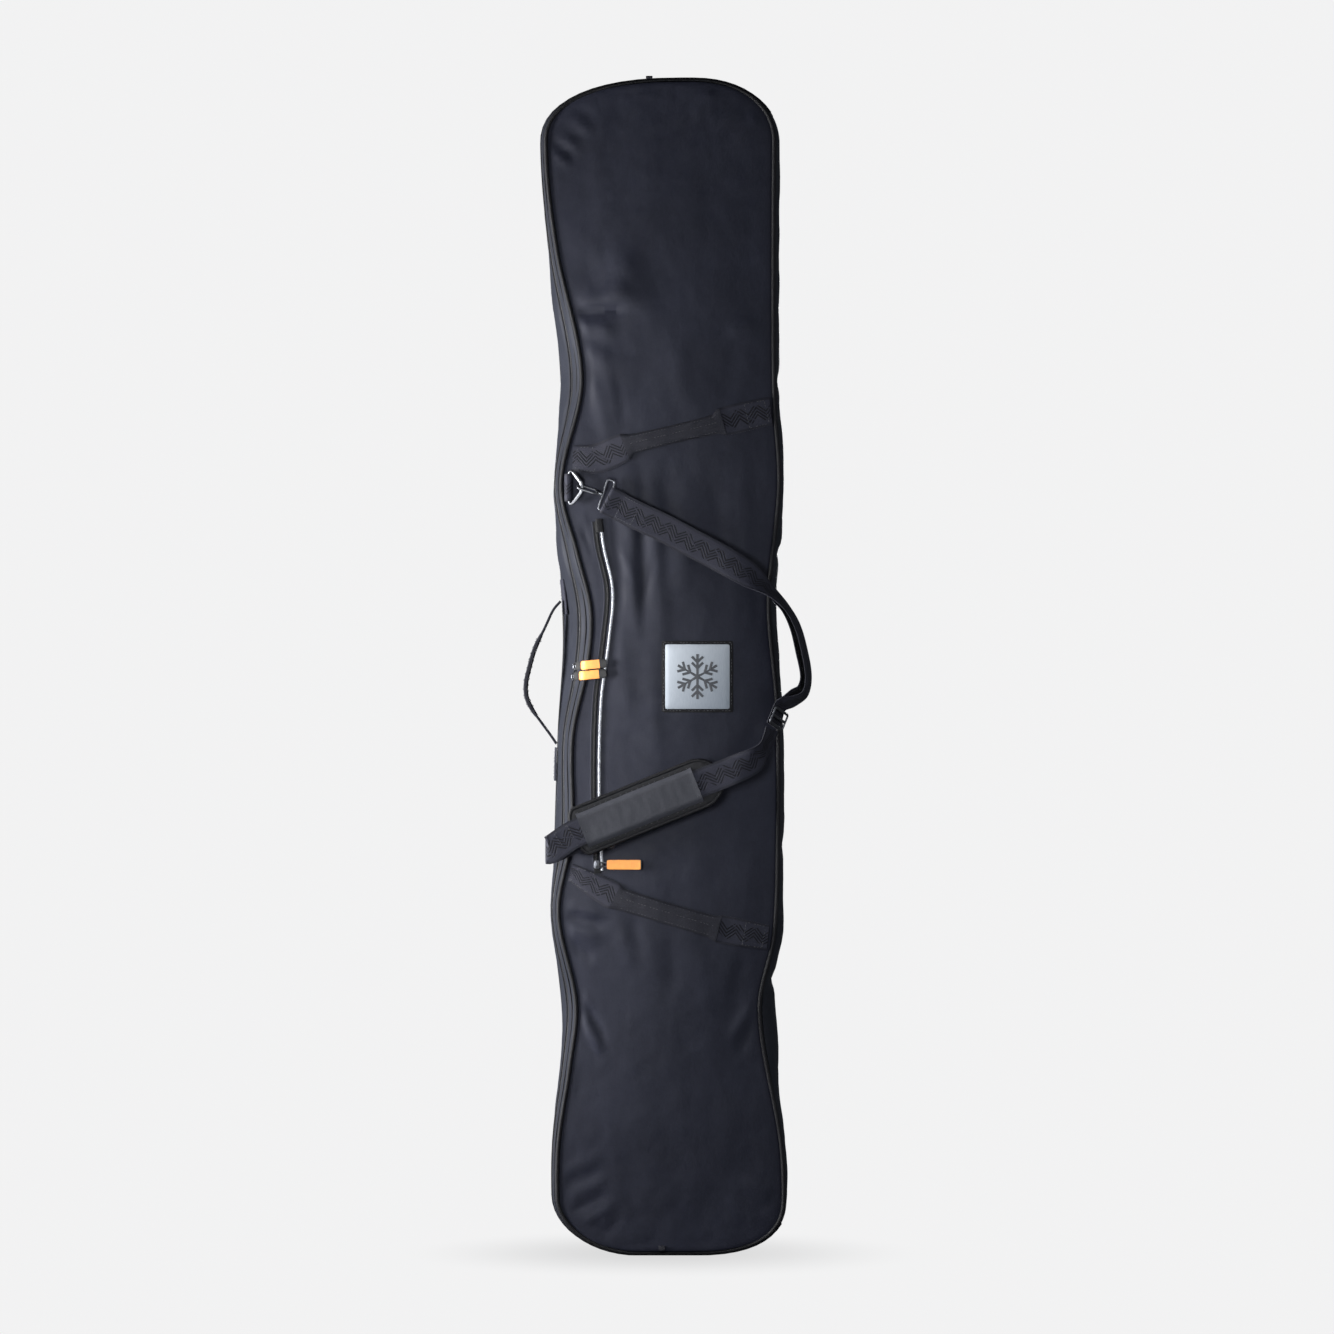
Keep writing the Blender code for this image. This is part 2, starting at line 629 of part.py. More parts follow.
def build_pad(foam, cover):
    """The shoulder pad behind the strap and its cover in front of it."""
    ends = (-PAD_HALF_LENGTH - PAD_TIPS[0], PAD_HALF_LENGTH + PAD_TIPS[1])
    grids = ([], [])
    side = Vector((-math.sin(STRAP_ANGLE), 0.0, math.cos(STRAP_ANGLE)))
    for k in range(15):
        along = ends[0] + (ends[1] - ends[0]) * k / 14
        over = max(0.0, abs(along) - PAD_HALF_LENGTH) / PAD_TIPS[1 if along > 0 else 0]
        half = PAD_HALF_WIDTH * math.sqrt(1 - 0.75 * over**2)
        for grid, y in zip(grids, PAD_LAYERS):
            middle = Vector(strap_line(along, y))
            grid.append([middle - side * half, middle + side * half])
    slab("shoulder_pad", *grids, foam)
    grids = ([], [])
    for along in spread(-PAD_HALF_LENGTH, PAD_HALF_LENGTH, 4):
        for grid, y in zip(grids, SLEEVE_LAYERS):
            middle = Vector(strap_line(along, y))
            half = PAD_HALF_WIDTH - GAP
            grid.append([middle - side * half, middle + side * half])
    slab("shoulder_pad_cover", *grids, cover)


def ring_point(z, along, up):
    return Vector((*RING_AXIS, z)) + RING_LEAN * along + Vector((0, 0, up))


def build_ring(name, z, metal):
    """A flat D-ring whose straight bar stands on the shared hinge line."""
    half = [ring_point(z, along, up) for along, up in RING_OUTLINE]
    lower = [ring_point(z, along, -up) for along, up in RING_OUTLINE[-2::-1]]
    bar = [ring_point(z, 0.0, 0.0)]
    origin = (*RING_AXIS, z)
    tube(name, bar + half + lower, RING_ROD, metal, cyclic=True, sides=1, origin=origin)


def build_ring_loop(name, z, webbing):
    """The doubled webbing that is sewn in by the piping and holds the ring's bar."""
    x, y = RING_AXIS
    reach = RING_ROD + 0.0012
    foot = front_y(x - 0.006, z) - 0.0022
    stations = [(x - 0.0062, foot), (x - 0.002, y + reach + 0.0002)]
    for k in range(7):
        turn = math.pi * k / 6
        stations.append((x + reach * math.sin(turn), y + reach * math.cos(turn)))
    stations += [(x - 0.0035, y - reach + 0.0004), (x - 0.0066, foot - 0.0030)]
    frames = []
    points = [Vector((px, py, z)) for px, py in stations]
    for i, point in enumerate(points):
        along = points[min(i + 1, len(points) - 1)] - points[max(i - 1, 0)]
        side = Vector((0, 0, 1))
        frames.append((point, side, along.normalized().cross(side)))
    ribbon(name, frames, [0.0195] * len(frames), 0.0010, webbing)


def hook_axes(z, angle):
    """Where a hook's nose is, and its directions: along it, away from the bag and across it."""
    along = Vector((math.cos(angle), -0.13, math.sin(angle))).normalized()
    out = Vector((0, -1, 0))
    out = (out - along * out.dot(along)).normalized()
    start = ring_point(z, RING_REACH, 0.0) - along * HOOK_HALF
    return start, along, out, along.cross(out)


def build_hook(which, z, angle, metal, webbing_metal):
    """A snap hook through the ring, its gate, its swivel pin and the strap's square loop."""
    start, along, out, up = hook_axes(z, angle)

    def place(a, b, c=0.0):
        return start + along * a + out * b + up * c

    def turned(a, b):
        return place(a, b * math.cos(HOOK_ROLL), b * math.sin(HOOK_ROLL))

    body = [(0.0262, -0.0052), (0.0284, -0.0030), (0.0290, 0.0), (0.0278, 0.0034)]
    body += [(0.0248, 0.0053), (0.0210, HOOK_HALF), (0.0130, HOOK_HALF)]
    for k in range(7):
        turn = math.pi * k / 6
        body.append((HOOK_HALF * (1 - math.sin(turn)), HOOK_HALF * math.cos(turn)))
    body.append((0.0085, -HOOK_HALF))
    nose = [turned(a, b) for a, b in body]
    tube(f"snap_hook_{which}", nose, HOOK_ROD, metal, sides=1, origin=start)
    pivot = turned(*GATE_PIVOT)
    gate = [turned(a, -HOOK_HALF) for a in (0.0093, 0.0165, 0.0246)]
    tube(f"hook_gate_{which}", gate, 0.0013, metal, sides=1, origin=pivot)
    pin = [place(a, 0.0) for a in (HOOK_STEM + 0.0012, HOOK_STEM + 0.0062)]
    tube(f"swivel_pin_{which}", pin, 0.0030, metal, sides=3)
    low, high, half = HOOK_STEM + 0.0082, HOOK_STEM + 0.0190, 0.0222
    corners = [(low, 0.0), (low, half - 0.002), (low + 0.002, half), (high - 0.002, half)]
    corners += [(high, half - 0.002), (high, 0.0)]
    loop = [place(a, 0.0, c) for a, c in corners]
    loop += [place(a, 0.0, -c) for a, c in corners[-2:0:-1]]
    tube(f"strap_loop_{which}", loop, 0.0015, webbing_metal, cyclic=True, sides=1)


def zip_frame(z):
    """A point on the main zip, the direction along it and the direction out of the bag."""
    step = 0.01
    along = (zip_point(z + step) - zip_point(z - step)).normalized()
    left, back = smooth(FRONT_LEFT, z), smooth(BACK_LEFT, z)
    ends = [
        gusset_point((left, z, -1.0, 0.0), (back, z, -1.0, 0.0), ZIP_PLACE + side * 0.02)
        for side in (-1, 1)
    ]
    out = (ends[1] - ends[0]).cross(along).normalized()
    return zip_point(z), along, out if out.x < 0 else -out


def build_slider(name, centre, along, out, colour):
    """A zip slider: a low body with a raised bridge, extruded across its width."""
    width, length, height = SLIDER
    profile = [
        (-0.50, 0.0), (0.50, 0.0), (0.50, 0.45), (0.32, 0.55), (0.22, 1.0), (-0.22, 1.0),
        (-0.32, 0.55), (-0.50, 0.45),
    ]
    bm = bmesh.new()
    points = [bm.verts.new((-width / 2, a * length, b * height)) for a, b in profile]
    face = bm.faces.new(points)
    made = bmesh.ops.extrude_face_region(bm, geom=[face])["geom"]
    far = [v for v in made if isinstance(v, bmesh.types.BMVert)]
    bmesh.ops.translate(bm, vec=(width, 0, 0), verts=far)
    matrix = frame_matrix(centre, along.cross(out), along, out)
    bmesh.ops.transform(bm, matrix=matrix, verts=bm.verts)
    finish_mesh(name, bm, colour, centre)


def pull_ribbon(name, points, half, thickness, colour, origin):
    """A pull piece that stands on edge, its width along Z, through these (x, y) points."""
    places = [Vector(point) for point in points]
    frames = []
    for i, place in enumerate(places):
        along = (places[min(i + 1, len(places) - 1)] - places[max(i - 1, 0)]).normalized()
        frames.append((place, Vector((0, 0, 1)), along.cross(Vector((0, 0, 1)))))
    ribbon(name, frames, [half] * len(frames), thickness, colour, origin)


def main_pull_route(z):
    """From the slider's bridge round in front of the piping and a little way over the panel."""
    centre, _, out = zip_frame(z)
    pivot = centre + out * 0.0076
    edge = (smooth(FRONT_LEFT, z), -half_depth(z))
    end = -0.0820
    return [
        (pivot.x, pivot.y, z),
        (edge[0] - 0.0100, edge[1] + 0.0035, z),
        (edge[0] - 0.0072, edge[1] - 0.0035, z),
        (edge[0] - 0.0010, edge[1] - 0.0085, z),
        (end, front_y(end, z) - 0.0062, z),
    ]


def build_main_pulls(metal, dark, orange):
    """Two sliders that meet half way up, each with a link and a flexible tab."""
    for which, z in zip(("upper", "lower"), MAIN_SLIDERS_Z):
        centre, along, out = zip_frame(z)
        build_slider(f"zip_slider_{which}", centre + out * 0.0012, along, out, metal)
        route = main_pull_route(z)
        start, corner = Vector(route[0]), Vector(route[1])
        near = start + (corner - start) * 0.48
        far = start + (corner - start) * 0.52
        link = [tuple(start), tuple(near)]
        pull_ribbon(f"zip_link_{which}", link, 0.0025, 0.0014, dark, route[0])
        tab = [tuple(far), *route[1:]]
        pull_ribbon(f"zip_tab_{which}", tab, 0.0060, 0.0018, orange, route[0])


def pocket_slider_base(z):
    """The middle of the pocket slider's underside when it is at this height."""
    x = smooth(POCKET_ROUTE, z) + CHAIN_SIDE
    return Vector((x, front_y(x, z) - GAP - 0.0015 - 0.0008, z))


def pocket_pivot():
    base = pocket_slider_base(POCKET_SLIDER_Z)
    x = base.x + POCKET_PIVOT_X
    return Vector((x, front_y(x, POCKET_SLIDER_Z) - POCKET_PULL_LIFT, POCKET_SLIDER_Z))


def build_pocket_pull(metal, dark, orange):
    """The pocket slider with its link and its long tab, which lies to the right."""
    base = pocket_slider_base(POCKET_SLIDER_Z)
    build_slider("pocket_slider", base, Vector((0, 0, 1)), Vector((0, -1, 0)), metal)
    pivot = pocket_pivot()
    end_x = base.x + POCKET_TAB[1]
    end_y = front_y(end_x, POCKET_SLIDER_Z) - POCKET_PULL_LIFT
    slope = (end_y - pivot.y) / (end_x - pivot.x)

    def place(x):
        return (x, pivot.y + slope * (x - pivot.x), POCKET_SLIDER_Z)

    link_end = base.x + POCKET_TAB[0]
    pull_ribbon(
        "pocket_link", [place(pivot.x), place(link_end + 0.0030)], 0.0022, 0.0014, dark, pivot
    )
    pull_ribbon(
        "pocket_tab", [place(link_end + 0.0035), place(end_x)], 0.0068, 0.0018, orange, pivot
    )


def build_side_handle(webbing):
    """The grab handle on the left-hand gusset and the two sewn patches it springs from."""
    y = HANDLE_AXIS[1]
    stations = [(x, y, z, 1.0) for x, z, _ in SIDE_HANDLE]
    frames = strap_frames(stations)
    halves = [half for _, _, half in SIDE_HANDLE]
    ribbon("side_handle", frames, halves, 0.0026, webbing, (*HANDLE_AXIS, SIDE_HANDLE[5][1]))
    for which, (low, high) in PATCHES.items():
        grids = ([], [])
        for z in spread(low, high, 3):
            front, back = smooth(FRONT_LEFT, z), smooth(BACK_LEFT, z)
            for grid, lift in zip(grids, (PATCH_LIFT + 0.0012, PATCH_LIFT)):
                ends = ((front, z, -1.0, 0.0), (back, z, -1.0, 0.0))
                grid.append([gusset_point(*ends, p, -lift) for p in spread(0.60, 0.80, 2)])
        slab(f"handle_patch_{which}", *grids, webbing)


def hang(pivot, at, names):
    """Parents pieces to an empty on their joint's line and leaves them where they are."""
    empty = bpy.data.objects.new(pivot, None)
    empty.location = at
    bpy.context.scene.collection.objects.link(empty)
    for name in names:
        piece = bpy.data.objects[name]
        piece.parent = empty
        piece.location -= Vector(at)


def main():
    for obj in list(bpy.data.objects):
        bpy.data.objects.remove(obj)
    fabric = material("navy_fabric", (0.020, 0.022, 0.032), 0.75)
    lining = material("grey_lining", (0.080, 0.085, 0.095), 0.85)
    black = material("black_binding", (0.006, 0.006, 0.008), 0.60)
    webbing = material("charcoal_webbing", (0.035, 0.035, 0.038), 0.80)
    zip_cloth = material("zip_black", (0.010, 0.010, 0.012), 0.45)
    metal = material("gunmetal", (0.45, 0.46, 0.48), 0.25, 1.0)
    dark_metal = material("dark_metal", (0.10, 0.10, 0.11), 0.35, 1.0)
    orange = material("orange_rubber", (0.95, 0.45, 0.12), 0.55)
    silver = material("reflective_silver", (0.62, 0.65, 0.68), 0.35, 0.3)
    foam = material("pad_foam", (0.030, 0.031, 0.036), 0.85)

    build_shell(fabric, lining, black, zip_cloth)
    build_lid(fabric, lining, black, zip_cloth)
    build_pocket_zip(zip_cloth, silver)
    build_label(black, silver)
    build_haul_straps(webbing)
    build_end_tabs(black)
    build_main_pulls(dark_metal, black, orange)
    build_pocket_pull(dark_metal, black, orange)
    build_shoulder_strap(webbing)
    build_adjuster(dark_metal)
    build_pad(foam, fabric)
    for which, z, angle in zip(("upper", "lower"), (UPPER_RING_Z, LOWER_RING_Z), HOOK_ANGLES):
        build_ring(f"d_ring_{which}", z, metal)
        build_ring_loop(f"d_ring_loop_{which}", z, webbing)
        build_hook(which, z, math.radians(angle), metal, dark_metal)
    build_side_handle(webbing)
    hang("lid_pivot", (*LID_AXIS, MAIN_SLIDERS_Z[0]), LID_PIECES)
    hang("strap_pivot", (*RING_AXIS, MAIN_SLIDERS_Z[0]), STRAP_PIECES)


if __name__ == "__main__":
    main()
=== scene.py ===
"""The snowboard bag's looks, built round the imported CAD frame: fabric, zips, webbing, hardware and pad."""

import json
import math

import bmesh
import bpy
import numpy as np
from mathutils import Matrix, Vector, noise

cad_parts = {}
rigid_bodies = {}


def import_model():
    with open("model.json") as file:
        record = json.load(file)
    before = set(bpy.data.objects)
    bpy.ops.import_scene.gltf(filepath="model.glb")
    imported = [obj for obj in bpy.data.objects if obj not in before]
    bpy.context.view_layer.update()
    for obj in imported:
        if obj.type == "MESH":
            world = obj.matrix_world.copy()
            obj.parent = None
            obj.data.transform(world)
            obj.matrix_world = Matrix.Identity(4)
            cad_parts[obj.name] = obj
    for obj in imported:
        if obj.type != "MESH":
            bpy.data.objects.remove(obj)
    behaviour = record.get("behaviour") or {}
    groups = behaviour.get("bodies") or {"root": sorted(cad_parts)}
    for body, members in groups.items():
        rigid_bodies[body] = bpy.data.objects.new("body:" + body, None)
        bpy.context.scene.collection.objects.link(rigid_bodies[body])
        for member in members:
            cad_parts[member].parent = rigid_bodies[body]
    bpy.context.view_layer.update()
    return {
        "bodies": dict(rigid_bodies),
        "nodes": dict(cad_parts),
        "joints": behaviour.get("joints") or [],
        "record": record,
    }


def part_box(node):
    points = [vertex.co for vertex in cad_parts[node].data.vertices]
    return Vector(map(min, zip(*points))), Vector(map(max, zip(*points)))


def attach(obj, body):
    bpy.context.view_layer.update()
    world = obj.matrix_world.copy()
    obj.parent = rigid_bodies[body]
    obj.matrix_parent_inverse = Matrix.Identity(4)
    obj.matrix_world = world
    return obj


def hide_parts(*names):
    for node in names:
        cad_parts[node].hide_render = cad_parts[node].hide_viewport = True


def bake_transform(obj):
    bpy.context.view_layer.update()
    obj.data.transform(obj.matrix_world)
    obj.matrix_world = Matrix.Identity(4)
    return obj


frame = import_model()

# What the camera takes in: its height in metres at the bag, and the middle of it
VIEW_HEIGHT = 1.912
VIEW_MIDDLE = (0.0043, 0.8394)
CAMERA_DISTANCE = 9.0
SENSOR = 36.0

# Outline of the bag, as the CAD has it: (z, x) points of the piping's centre line
EDGE_LOW, EDGE_HIGH = 0.004, 1.676
BASE_CORNERS = ((0.113, 0.081, 2.0), (0.132, 0.081, 2.6))
TOP_CORNERS = ((0.192, 0.089, 2.35), (0.116, 0.089, 2.15))
FRONT_LEFT = [
    (0.00, -0.150), (0.15, -0.151), (0.27, -0.134), (0.36, -0.125), (0.49, -0.150), (0.60, -0.131),
    (0.74, -0.130), (0.84, -0.109), (0.92, -0.104), (1.00, -0.123), (1.10, -0.146), (1.25, -0.117),
    (1.43, -0.152), (1.55, -0.167), (1.68, -0.168),
]
FRONT_RIGHT = [
    (0.00, 0.170), (0.15, 0.168), (0.35, 0.136), (0.46, 0.157), (0.60, 0.162), (0.78, 0.161),
    (0.93, 0.149), (1.10, 0.164), (1.22, 0.157), (1.45, 0.156), (1.68, 0.158),
]
BACK_LEFT = [
    (0.00, -0.148), (0.15, -0.152), (0.32, -0.143), (0.48, -0.156), (0.75, -0.150), (0.88, -0.143),
    (1.09, -0.152), (1.24, -0.146), (1.42, -0.160), (1.68, -0.169),
]
BACK_RIGHT = [
    (0.00, 0.164), (0.15, 0.162), (0.38, 0.147), (0.50, 0.162), (0.75, 0.162), (1.00, 0.153),
    (1.13, 0.162), (1.22, 0.157), (1.68, 0.157),
]
END_HALF_DEPTH, MORE_HALF_DEPTH = 0.046, 0.016
FRONT_CROWN, BACK_CROWN = (0.006, 0.012), (0.004, 0.006)
BASE_BULGE, SIDE_BULGE = 0.004, 0.009
ZIP_PLACE = 0.240
PIPING_MARGIN, PIPING_RADIUS, WELT_RADIUS = 0.0038, 0.0030, 0.0009
PANEL_THICK, GUSSET_THICK = 0.0038, 0.0026
LINING_MARGIN, LINING_THICK, CHANNEL_PITCH, CHANNEL_DEPTH = 0.0095, 0.0022, 0.042, 0.0007
CORNER_STEPS, END_STEPS, ROW_STEP = 26, 30, 0.0075
RING_AXIS = (-0.1345, -0.0705)
UPPER_RING_Z, LOWER_RING_Z = 1.0946, 0.5970
MAIN_SLIDERS_Z = (0.8400, 0.8254)
MAIN_TOOTH, MAIN_TOOTH_PITCH = (0.0011, 0.0022, 0.0012), 0.0012
POCKET_TOOTH, POCKET_TOOTH_PITCH = (0.0010, 0.0016, 0.0011), 0.0011
POCKET_ROUTE = [
    (0.550, -0.0920), (0.650, -0.0962), (0.788, -0.0937), (0.880, -0.0822), (0.948, -0.0770),
    (1.011, -0.0900), (1.046, -0.0945),
]
CHAIN_SIDE, PIPING_SIDE = -0.0032, 0.0044
POCKET_SLIDER_Z = 0.5585
LABEL_CENTRE, LABEL_STEPS = (0.0475, 0.8257), 28


def camera():
    data = bpy.data.cameras.new("camera")
    data.sensor_width = SENSOR
    data.lens = SENSOR * CAMERA_DISTANCE / VIEW_HEIGHT
    data.clip_end = 60
    obj = bpy.data.objects.new("camera", data)
    bpy.context.scene.collection.objects.link(obj)
    obj.location = (VIEW_MIDDLE[0], -CAMERA_DISTANCE, VIEW_MIDDLE[1])
    obj.rotation_euler = (math.pi / 2, 0, 0)
    bpy.context.scene.camera = obj


camera()


# ---- the bag's form, the same as the CAD's ----


def smooth(points, at):
    """The value at this place on a smooth curve through (place, value) points."""
    last = len(points) - 1
    i = max(0, min(last - 1, sum(1 for place, _ in points[1:] if place < at)))
    (p0, v0), (p1, v1) = points[i], points[i + 1]
    before, after = points[max(i - 1, 0)], points[min(i + 2, last)]
    slope0, slope1 = (v1 - before[1]) / (p1 - before[0]), (after[1] - v0) / (after[0] - p0)
    span = p1 - p0
    t = min(1.0, max(0.0, (at - p0) / span))
    rise = (t**3 - 2 * t**2 + t) * span * slope0 + (t**3 - t**2) * span * slope1
    return (2 * t**3 - 3 * t**2 + 1) * v0 + (3 * t**2 - 2 * t**3) * v1 + rise


def swell(z):
    return 1 - min(1.0, abs(2 * z / (EDGE_LOW + EDGE_HIGH) - 1)) ** 2.5


def half_depth(z):
    return END_HALF_DEPTH + MORE_HALF_DEPTH * swell(z)


def across(x, left, right):
    u = min(1.0, max(0.0, (x - left) / (right - left)))
    return 1 - (2 * u - 1) ** 2


def front_y(x, z):
    rise = across(x, smooth(FRONT_LEFT, z), smooth(FRONT_RIGHT, z))
    return -half_depth(z) - (FRONT_CROWN[0] + FRONT_CROWN[1] * swell(z)) * rise


def back_y(x, z):
    rise = across(x, smooth(BACK_LEFT, z), smooth(BACK_RIGHT, z))
    return half_depth(z) + (BACK_CROWN[0] + BACK_CROWN[1] * swell(z)) * rise


def spread(start, end, count):
    return [start + (end - start) * k / count for k in range(count + 1)]


def corner_rows(corners, margin):
    tall = corners[0][1] - margin
    rows = []
    for k in range(CORNER_STEPS):
        down = math.cos(math.radians(90 * k / CORNER_STEPS))
        insets, leans = [], []
        for reach, _, power in corners:
            wide = reach - margin
            out = (1 - down**power) ** (1 / power)
            insets.append(wide * (1 - out))
            slopes = (out ** (power - 1) / wide, down ** (power - 1) / tall)
            leans.append(slopes[1] / math.hypot(*slopes))
        rows.append((tall * (1 - down), *insets, *leans))
    return rows


def side_rows(margin):
    """(z, left inset, right inset, left lean, right lean) from the bottom to the top."""
    low, high = EDGE_LOW + margin, EDGE_HIGH - margin
    rows = []
    for rise, left, right, left_lean, right_lean in corner_rows(BASE_CORNERS, margin):
        rows.append((low + rise, left, right, -left_lean, -right_lean))
    start, end = low + BASE_CORNERS[0][1] - margin, high - TOP_CORNERS[0][1] + margin
    rows += [(z, 0.0, 0.0, 0.0, 0.0) for z in spread(start, end, round((end - start) / ROW_STEP))]
    for rise, *rest in reversed(corner_rows(TOP_CORNERS, margin)):
        rows.append((high - rise, *rest))
    return rows


def between(start, end, share):
    return tuple(a + (b - a) * share for a, b in zip(start, end))


def outline(left, right):
    """The closed outline as (x, z, normal x, normal z), from the right end of the base leftwards."""
    lefts, rights = [], []
    for z, left_inset, right_inset, left_lean, right_lean in side_rows(0.0):
        lefts.append((smooth(left, z) + left_inset, z, -math.sqrt(1 - left_lean**2), left_lean))
        x = smooth(right, z) - right_inset
        rights.append((x, z, math.sqrt(1 - right_lean**2), right_lean))
    ends = [k / END_STEPS for k in range(1, END_STEPS)]
    base = [(*between(rights[0][:2], lefts[0][:2], share), 0.0, -1.0) for share in ends]
    top = [(*between(lefts[-1][:2], rights[-1][:2], share), 0.0, 1.0) for share in ends]
    return base + lefts + top + rights[::-1]


FRONTS, BACKS = outline(FRONT_LEFT, FRONT_RIGHT), outline(BACK_LEFT, BACK_RIGHT)
ROWS = len(side_rows(0.0))
BASE_END = END_STEPS - 1
TOP_START = BASE_END + ROWS
TOP_END = TOP_START + END_STEPS - 1
RIGHT_FROM, RIGHT_TO = TOP_END + CORNER_STEPS * 3 // 4, len(FRONTS) - CORNER_STEPS * 3 // 4


def gusset_profile(place, lean):
    flat = min(1.0, math.sin(math.pi * place) / math.sin(math.pi * 0.10))
    rounded = max(0.0, math.sin(math.pi * place)) ** 0.6
    size = SIDE_BULGE + (BASE_BULGE - SIDE_BULGE) * lean**2
    return size * (rounded + (flat - rounded) * lean**2)


def gusset_at(front, back, place, above=0.0):
    x = front[0] + (back[0] - front[0]) * place
    y = -half_depth(front[1]) * (1 - 2 * place)
    out = gusset_profile(place, front[3]) + above
    return Vector((x + front[2] * out, y, front[1] + front[3] * out))


def zip_point(z, above=0.0, place=ZIP_PLACE):
    ends = ((smooth(FRONT_LEFT, z), z, -1.0, 0.0), (smooth(BACK_LEFT, z), z, -1.0, 0.0))
    return gusset_at(*ends, place, above)


def zip_frame(z):
    along = (zip_point(z + 0.01) - zip_point(z - 0.01)).normalized()
    out = (zip_point(z, 0, ZIP_PLACE + 0.02) - zip_point(z, 0, ZIP_PLACE - 0.02)).cross(along)
    out.normalize()
    return zip_point(z), along, out if out.x < 0 else -out


# ---- materials ----


class Graph:
    """A material's node tree, with short calls for the nodes it uses."""

    def __init__(self, name, colour, roughness, metallic=0.0, sheen=0.0, specular=0.5):
        self.material = bpy.data.materials.new(name)
        self.material.use_nodes = True
        self.material.diffuse_color = (*colour, 1.0)
        self.nodes, self.links = self.material.node_tree.nodes, self.material.node_tree.links
        self.shader = self.nodes["Principled BSDF"]
        self.colour = colour
        for key, value in (
            ("Base Color", (*colour, 1.0)), ("Roughness", roughness), ("Metallic", metallic),
            ("Sheen Weight", sheen), ("Sheen Roughness", 0.30), ("Specular IOR Level", specular),
        ):
            self.shader.inputs[key].default_value = value
        self.place = self.nodes.new("ShaderNodeTexCoord").outputs["Object"]

    def _set(self, socket, value):
        if isinstance(value, bpy.types.NodeSocket):
            self.links.new(value, socket)
        else:
            socket.default_value = value

    def math(self, operation, *values, clamp=False):
        node = self.nodes.new("ShaderNodeMath")
        node.operation, node.use_clamp = operation, clamp
        for socket, value in zip(node.inputs, values):
            self._set(socket, value)
        return node.outputs[0]

    def plus(self, one, two):
        return self.math("ADD", one, two)

    def minus(self, one, two):
        return self.math("SUBTRACT", one, two)

    def times(self, one, two):
        return self.math("MULTIPLY", one, two)

    def stretched(self, scale):
        node = self.nodes.new("ShaderNodeMapping")
        node.inputs["Scale"].default_value = scale
        self.links.new(self.place, node.inputs["Vector"])
        return node.outputs[0]

    def noise(self, scale, detail=2.0, roughness=0.5, vector=None):
        node = self.nodes.new("ShaderNodeTexNoise")
        self._set(node.inputs["Vector"], vector or self.place)
        node.inputs["Scale"].default_value = scale
        node.inputs["Detail"].default_value = detail
        node.inputs["Roughness"].default_value = roughness
        return node.outputs["Fac"]

    def parts(self, vector):
        node = self.nodes.new("ShaderNodeSeparateXYZ")
        self.links.new(vector, node.inputs[0])
        return node.outputs[0], node.outputs[1], node.outputs[2]

    def uv(self):
        node = self.nodes.new("ShaderNodeUVMap")
        node.uv_map = "strap"
        return self.parts(node.outputs[0])[:2]

    def remap(self, value, low, high, start, end, smooth_step=False):
        node = self.nodes.new("ShaderNodeMapRange")
        node.interpolation_type = "SMOOTHSTEP" if smooth_step else "LINEAR"
        self._set(node.inputs["Value"], value)
        for key, number in (("From Min", low), ("From Max", high), ("To Min", start), ("To Max", end)):
            node.inputs[key].default_value = number
        return node.outputs[0]

    def mix(self, share, first, second):
        node = self.nodes.new("ShaderNodeMix")
        node.data_type = "RGBA"
        self._set(node.inputs["Factor"], share)
        self._set(node.inputs[6], self._rgba(first))
        self._set(node.inputs[7], self._rgba(second))
        return node.outputs[2]

    @staticmethod
    def _rgba(colour):
        return colour if isinstance(colour, bpy.types.NodeSocket) else (*colour, 1.0)

    def tint(self, share, low=0.75, high=1.25):
        """The base colour, darker to lighter with the share."""
        dark, light = (tuple(min(1.0, c * k) for c in self.colour) for k in (low, high))
        return self.mix(share, dark, light)

    def bump(self, height, distance, strength=1.0, below=None):
        node = self.nodes.new("ShaderNodeBump")
        node.inputs["Strength"].default_value = strength
        node.inputs["Distance"].default_value = distance
        self._set(node.inputs["Height"], height)
        if below is not None:
            self.links.new(below, node.inputs["Normal"])
        return node.outputs[0]

    def finish(self, colour=None, roughness=None, normal=None):
        for key, value in (("Base Color", colour), ("Roughness", roughness), ("Normal", normal)):
            if value is not None:
                self._set(self.shader.inputs[key], value)
        return self.material

    def weave(self, pitch):
        """A plain weave's height on a surface that faces any way, from its place in the object."""
        x, y, z = self.parts(self.place)
        turn = 2 * math.pi / pitch
        flat = self.plus(x, y)
        warp = self.math("SINE", self.times(flat, turn))
        weft = self.math("SINE", self.times(z, turn))
        return self.times(warp, weft)


def outer_fabric(name, colour, sheen=0.004, specular=0.17):
    """Coated polyester: fine twill grain, soft creases and a slight sheen."""
    g = Graph(name, colour, 0.55, sheen=sheen, specular=specular)
    slub = g.noise(1.0, 3.0, 0.65, g.stretched((900, 900, 160)))
    cross = g.noise(1.0, 2.0, 0.6, g.stretched((170, 170, 1000)))
    cloud = g.noise(9.0, 4.0, 0.6)
    grain = g.plus(g.times(slub, 0.6), g.times(cross, 0.4))
    shade = g.plus(g.times(grain, 0.55), g.times(cloud, 0.45))
    colour_out = g.tint(g.remap(shade, 0.3, 0.7, 0.0, 1.0), 0.72, 1.30)
    creases = g.noise(38.0, 5.0, 0.55, g.stretched((1.0, 1.0, 0.6)))
    soft = g.bump(creases, 0.0009, 0.5)
    fine = g.bump(g.plus(grain, g.times(g.weave(0.0011), 0.25)), 0.0003, 0.55, soft)
    rough = g.remap(g.noise(60.0, 3.0), 0.3, 0.7, 0.46, 0.62)
    return g.finish(colour_out, rough, fine)


